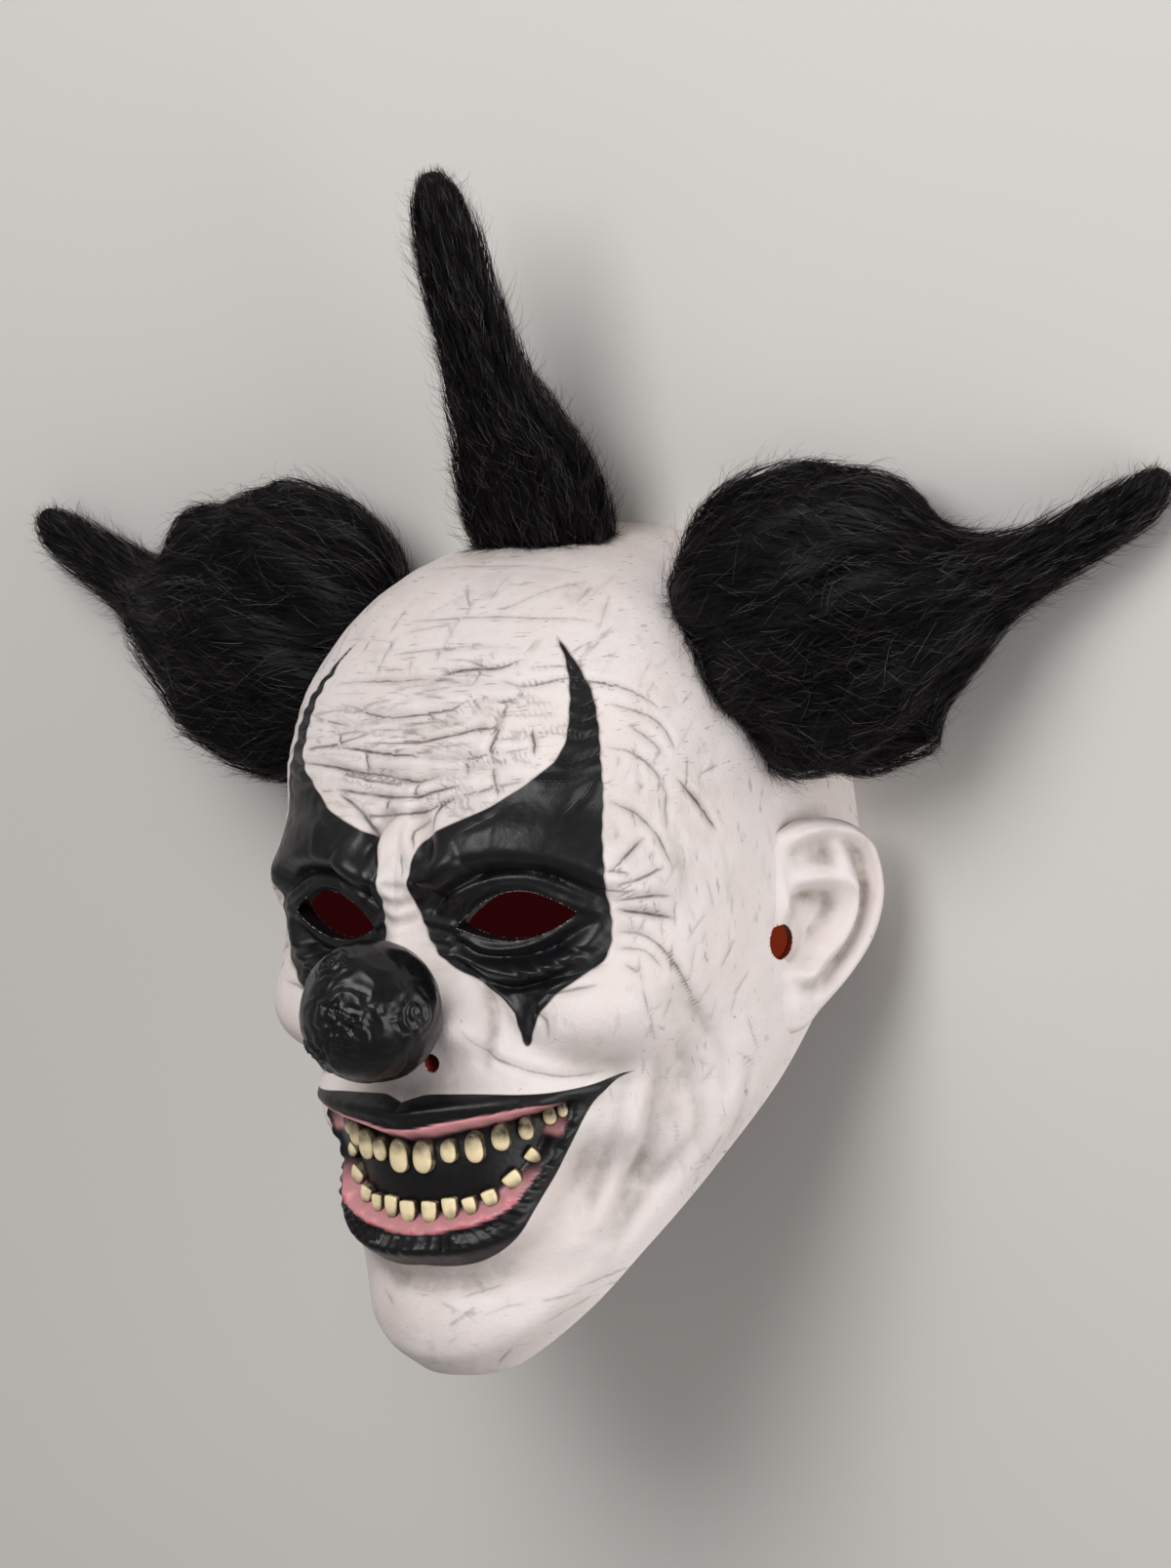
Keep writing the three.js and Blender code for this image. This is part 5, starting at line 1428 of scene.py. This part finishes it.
class CLOWN_MASK_OT_stage(bpy.types.Operator):
    """Makes the floor, the soft lights and the camera"""
    bl_idname = "clown_mask.stage"
    bl_label = "Stage"

    def execute(self, context):
        scene = context.scene
        stage = scene.mask_stage
        eye_shade_glow, ear_light_glow = glowing_card(stage.card), glowing_card(stage.ear_card)
        for name, corners, material in (("studio_floor", FLOOR, studio_card(stage.floor)), ("near_card", NEAR_CARD, eye_shade_glow),
                                        ("far_card", FAR_CARD, eye_shade_glow), ("ear_card", EAR_CARD, ear_light_glow)):
            add_mesh(name, np.array(corners, float), [[0, 1, 2, 3]], material)
        forward, right, up = camera_axes(stage)
        target = Vector((0, 0, 0.09))
        lamps = (("key", forward * 0.9 - right * 0.5 + up * 0.5, 1.25, 0.8, 9.5),
                 ("fill", forward * 0.8 + right * 0.9 - up * 0.2, 1.4, 1.0, 10.5),
                 ("top", Vector((0, 0.75, 1.2)), 1.3, 0.8, 2.2))
        for name, way, distance, size, power in lamps:
            lamp = bpy.data.lights.new(name, "AREA")
            lamp.size = size
            lamp.energy = power * stage.light
            holder = bpy.data.objects.new(name, lamp)
            holder.location = target + way.normalized() * distance
            holder.rotation_euler = (holder.location - target).to_track_quat("Z", "Y").to_euler()
            scene.collection.objects.link(holder)
        world = bpy.data.worlds.new("studio")
        world.use_nodes = True
        world.node_tree.nodes["Background"].inputs["Color"].default_value = rgba(linear("#F2F1EF"))
        world.node_tree.nodes["Background"].inputs["Strength"].default_value = 0.27 * stage.light
        scene.world = world
        scene.view_settings.view_transform = "Standard"
        place_camera(scene, stage, forward, right, up)
        return {"FINISHED"}


def camera_axes(stage):
    """The camera's backward, right and up directions."""
    a, e, r = stage.azimuth, stage.elevation, stage.roll
    forward = Vector((math.sin(a) * math.cos(e), math.sin(e), math.cos(a) * math.cos(e)))
    level = Vector((math.cos(a), 0, -math.sin(a)))
    rise = forward.cross(level)
    right = level * math.cos(r) - rise * math.sin(r)
    up = rise * math.cos(r) + level * math.sin(r)
    return forward, right, up


# The photograph's frame, and where the middle of the brow stands in it.
PHOTO_WIDTH = 1200
PHOTO_HEIGHT = 1607
ANCHOR_PIXEL = (438.5, 936)
ANCHOR = (0, 0, 116)
PIXELS_PER_MM = 3.38
SENSOR = 36.0


def place_camera(scene, stage, forward, right, up):
    """The camera that sees the anchor point at its pixel of the photograph, at its scale."""
    focal = PIXELS_PER_MM * stage.distance / MM
    across = (ANCHOR_PIXEL[0] - PHOTO_WIDTH / 2) / focal * stage.distance
    rise = -(ANCHOR_PIXEL[1] - PHOTO_HEIGHT / 2) / focal * stage.distance
    anchor = Vector(ANCHOR) * MM + Vector(FACE_ORIGIN)
    data = bpy.data.cameras.new("camera")
    data.sensor_fit = "VERTICAL"
    data.sensor_height = SENSOR
    data.lens = SENSOR * focal / PHOTO_HEIGHT
    data.clip_end = 50
    camera = bpy.data.objects.new("camera", data)
    place = anchor + forward * stage.distance - right * across - up * rise
    camera.matrix_world = Matrix((right, up, forward)).transposed().to_4x4()
    camera.location = place
    scene.collection.objects.link(camera)
    scene.camera = camera


class CLOWN_MASK_PT_parts(bpy.types.Panel):
    """Lists the pieces of the mask"""
    bl_label = "Clown mask"
    bl_space_type = "VIEW_3D"
    bl_region_type = "UI"
    bl_category = "Mask"

    def draw(self, context):
        for operator in OPERATORS:
            self.layout.operator(operator.bl_idname)
        for name in SETTINGS:
            box = self.layout.box()
            group = getattr(context.scene, name)
            for key in group.bl_rna.properties.keys():
                if key not in ("rna_type", "name"):
                    box.prop(group, key)


OPERATORS = (CLOWN_MASK_OT_skin, CLOWN_MASK_OT_nose, CLOWN_MASK_OT_teeth, CLOWN_MASK_OT_tufts, CLOWN_MASK_OT_stage)
SETTINGS = {"mask_sizes": MaskSizes, "mask_colours": MaskColours, "mask_fur": FurSettings, "mask_stage": StageSettings}


def register():
    for group in (*SETTINGS.values(), *OPERATORS, CLOWN_MASK_PT_parts):
        bpy.utils.register_class(group)
    for name, group in SETTINGS.items():
        setattr(bpy.types.Scene, name, PointerProperty(type=group))


def unregister():
    for name in SETTINGS:
        delattr(bpy.types.Scene, name)
    for group in reversed((*SETTINGS.values(), *OPERATORS, CLOWN_MASK_PT_parts)):
        bpy.utils.unregister_class(group)


def main():
    register()
    bpy.ops.clown_mask.skin()
    bpy.ops.clown_mask.nose()
    bpy.ops.clown_mask.teeth()
    bpy.ops.clown_mask.tufts()
    bpy.ops.clown_mask.stage()


if __name__ == "__main__":
    main()
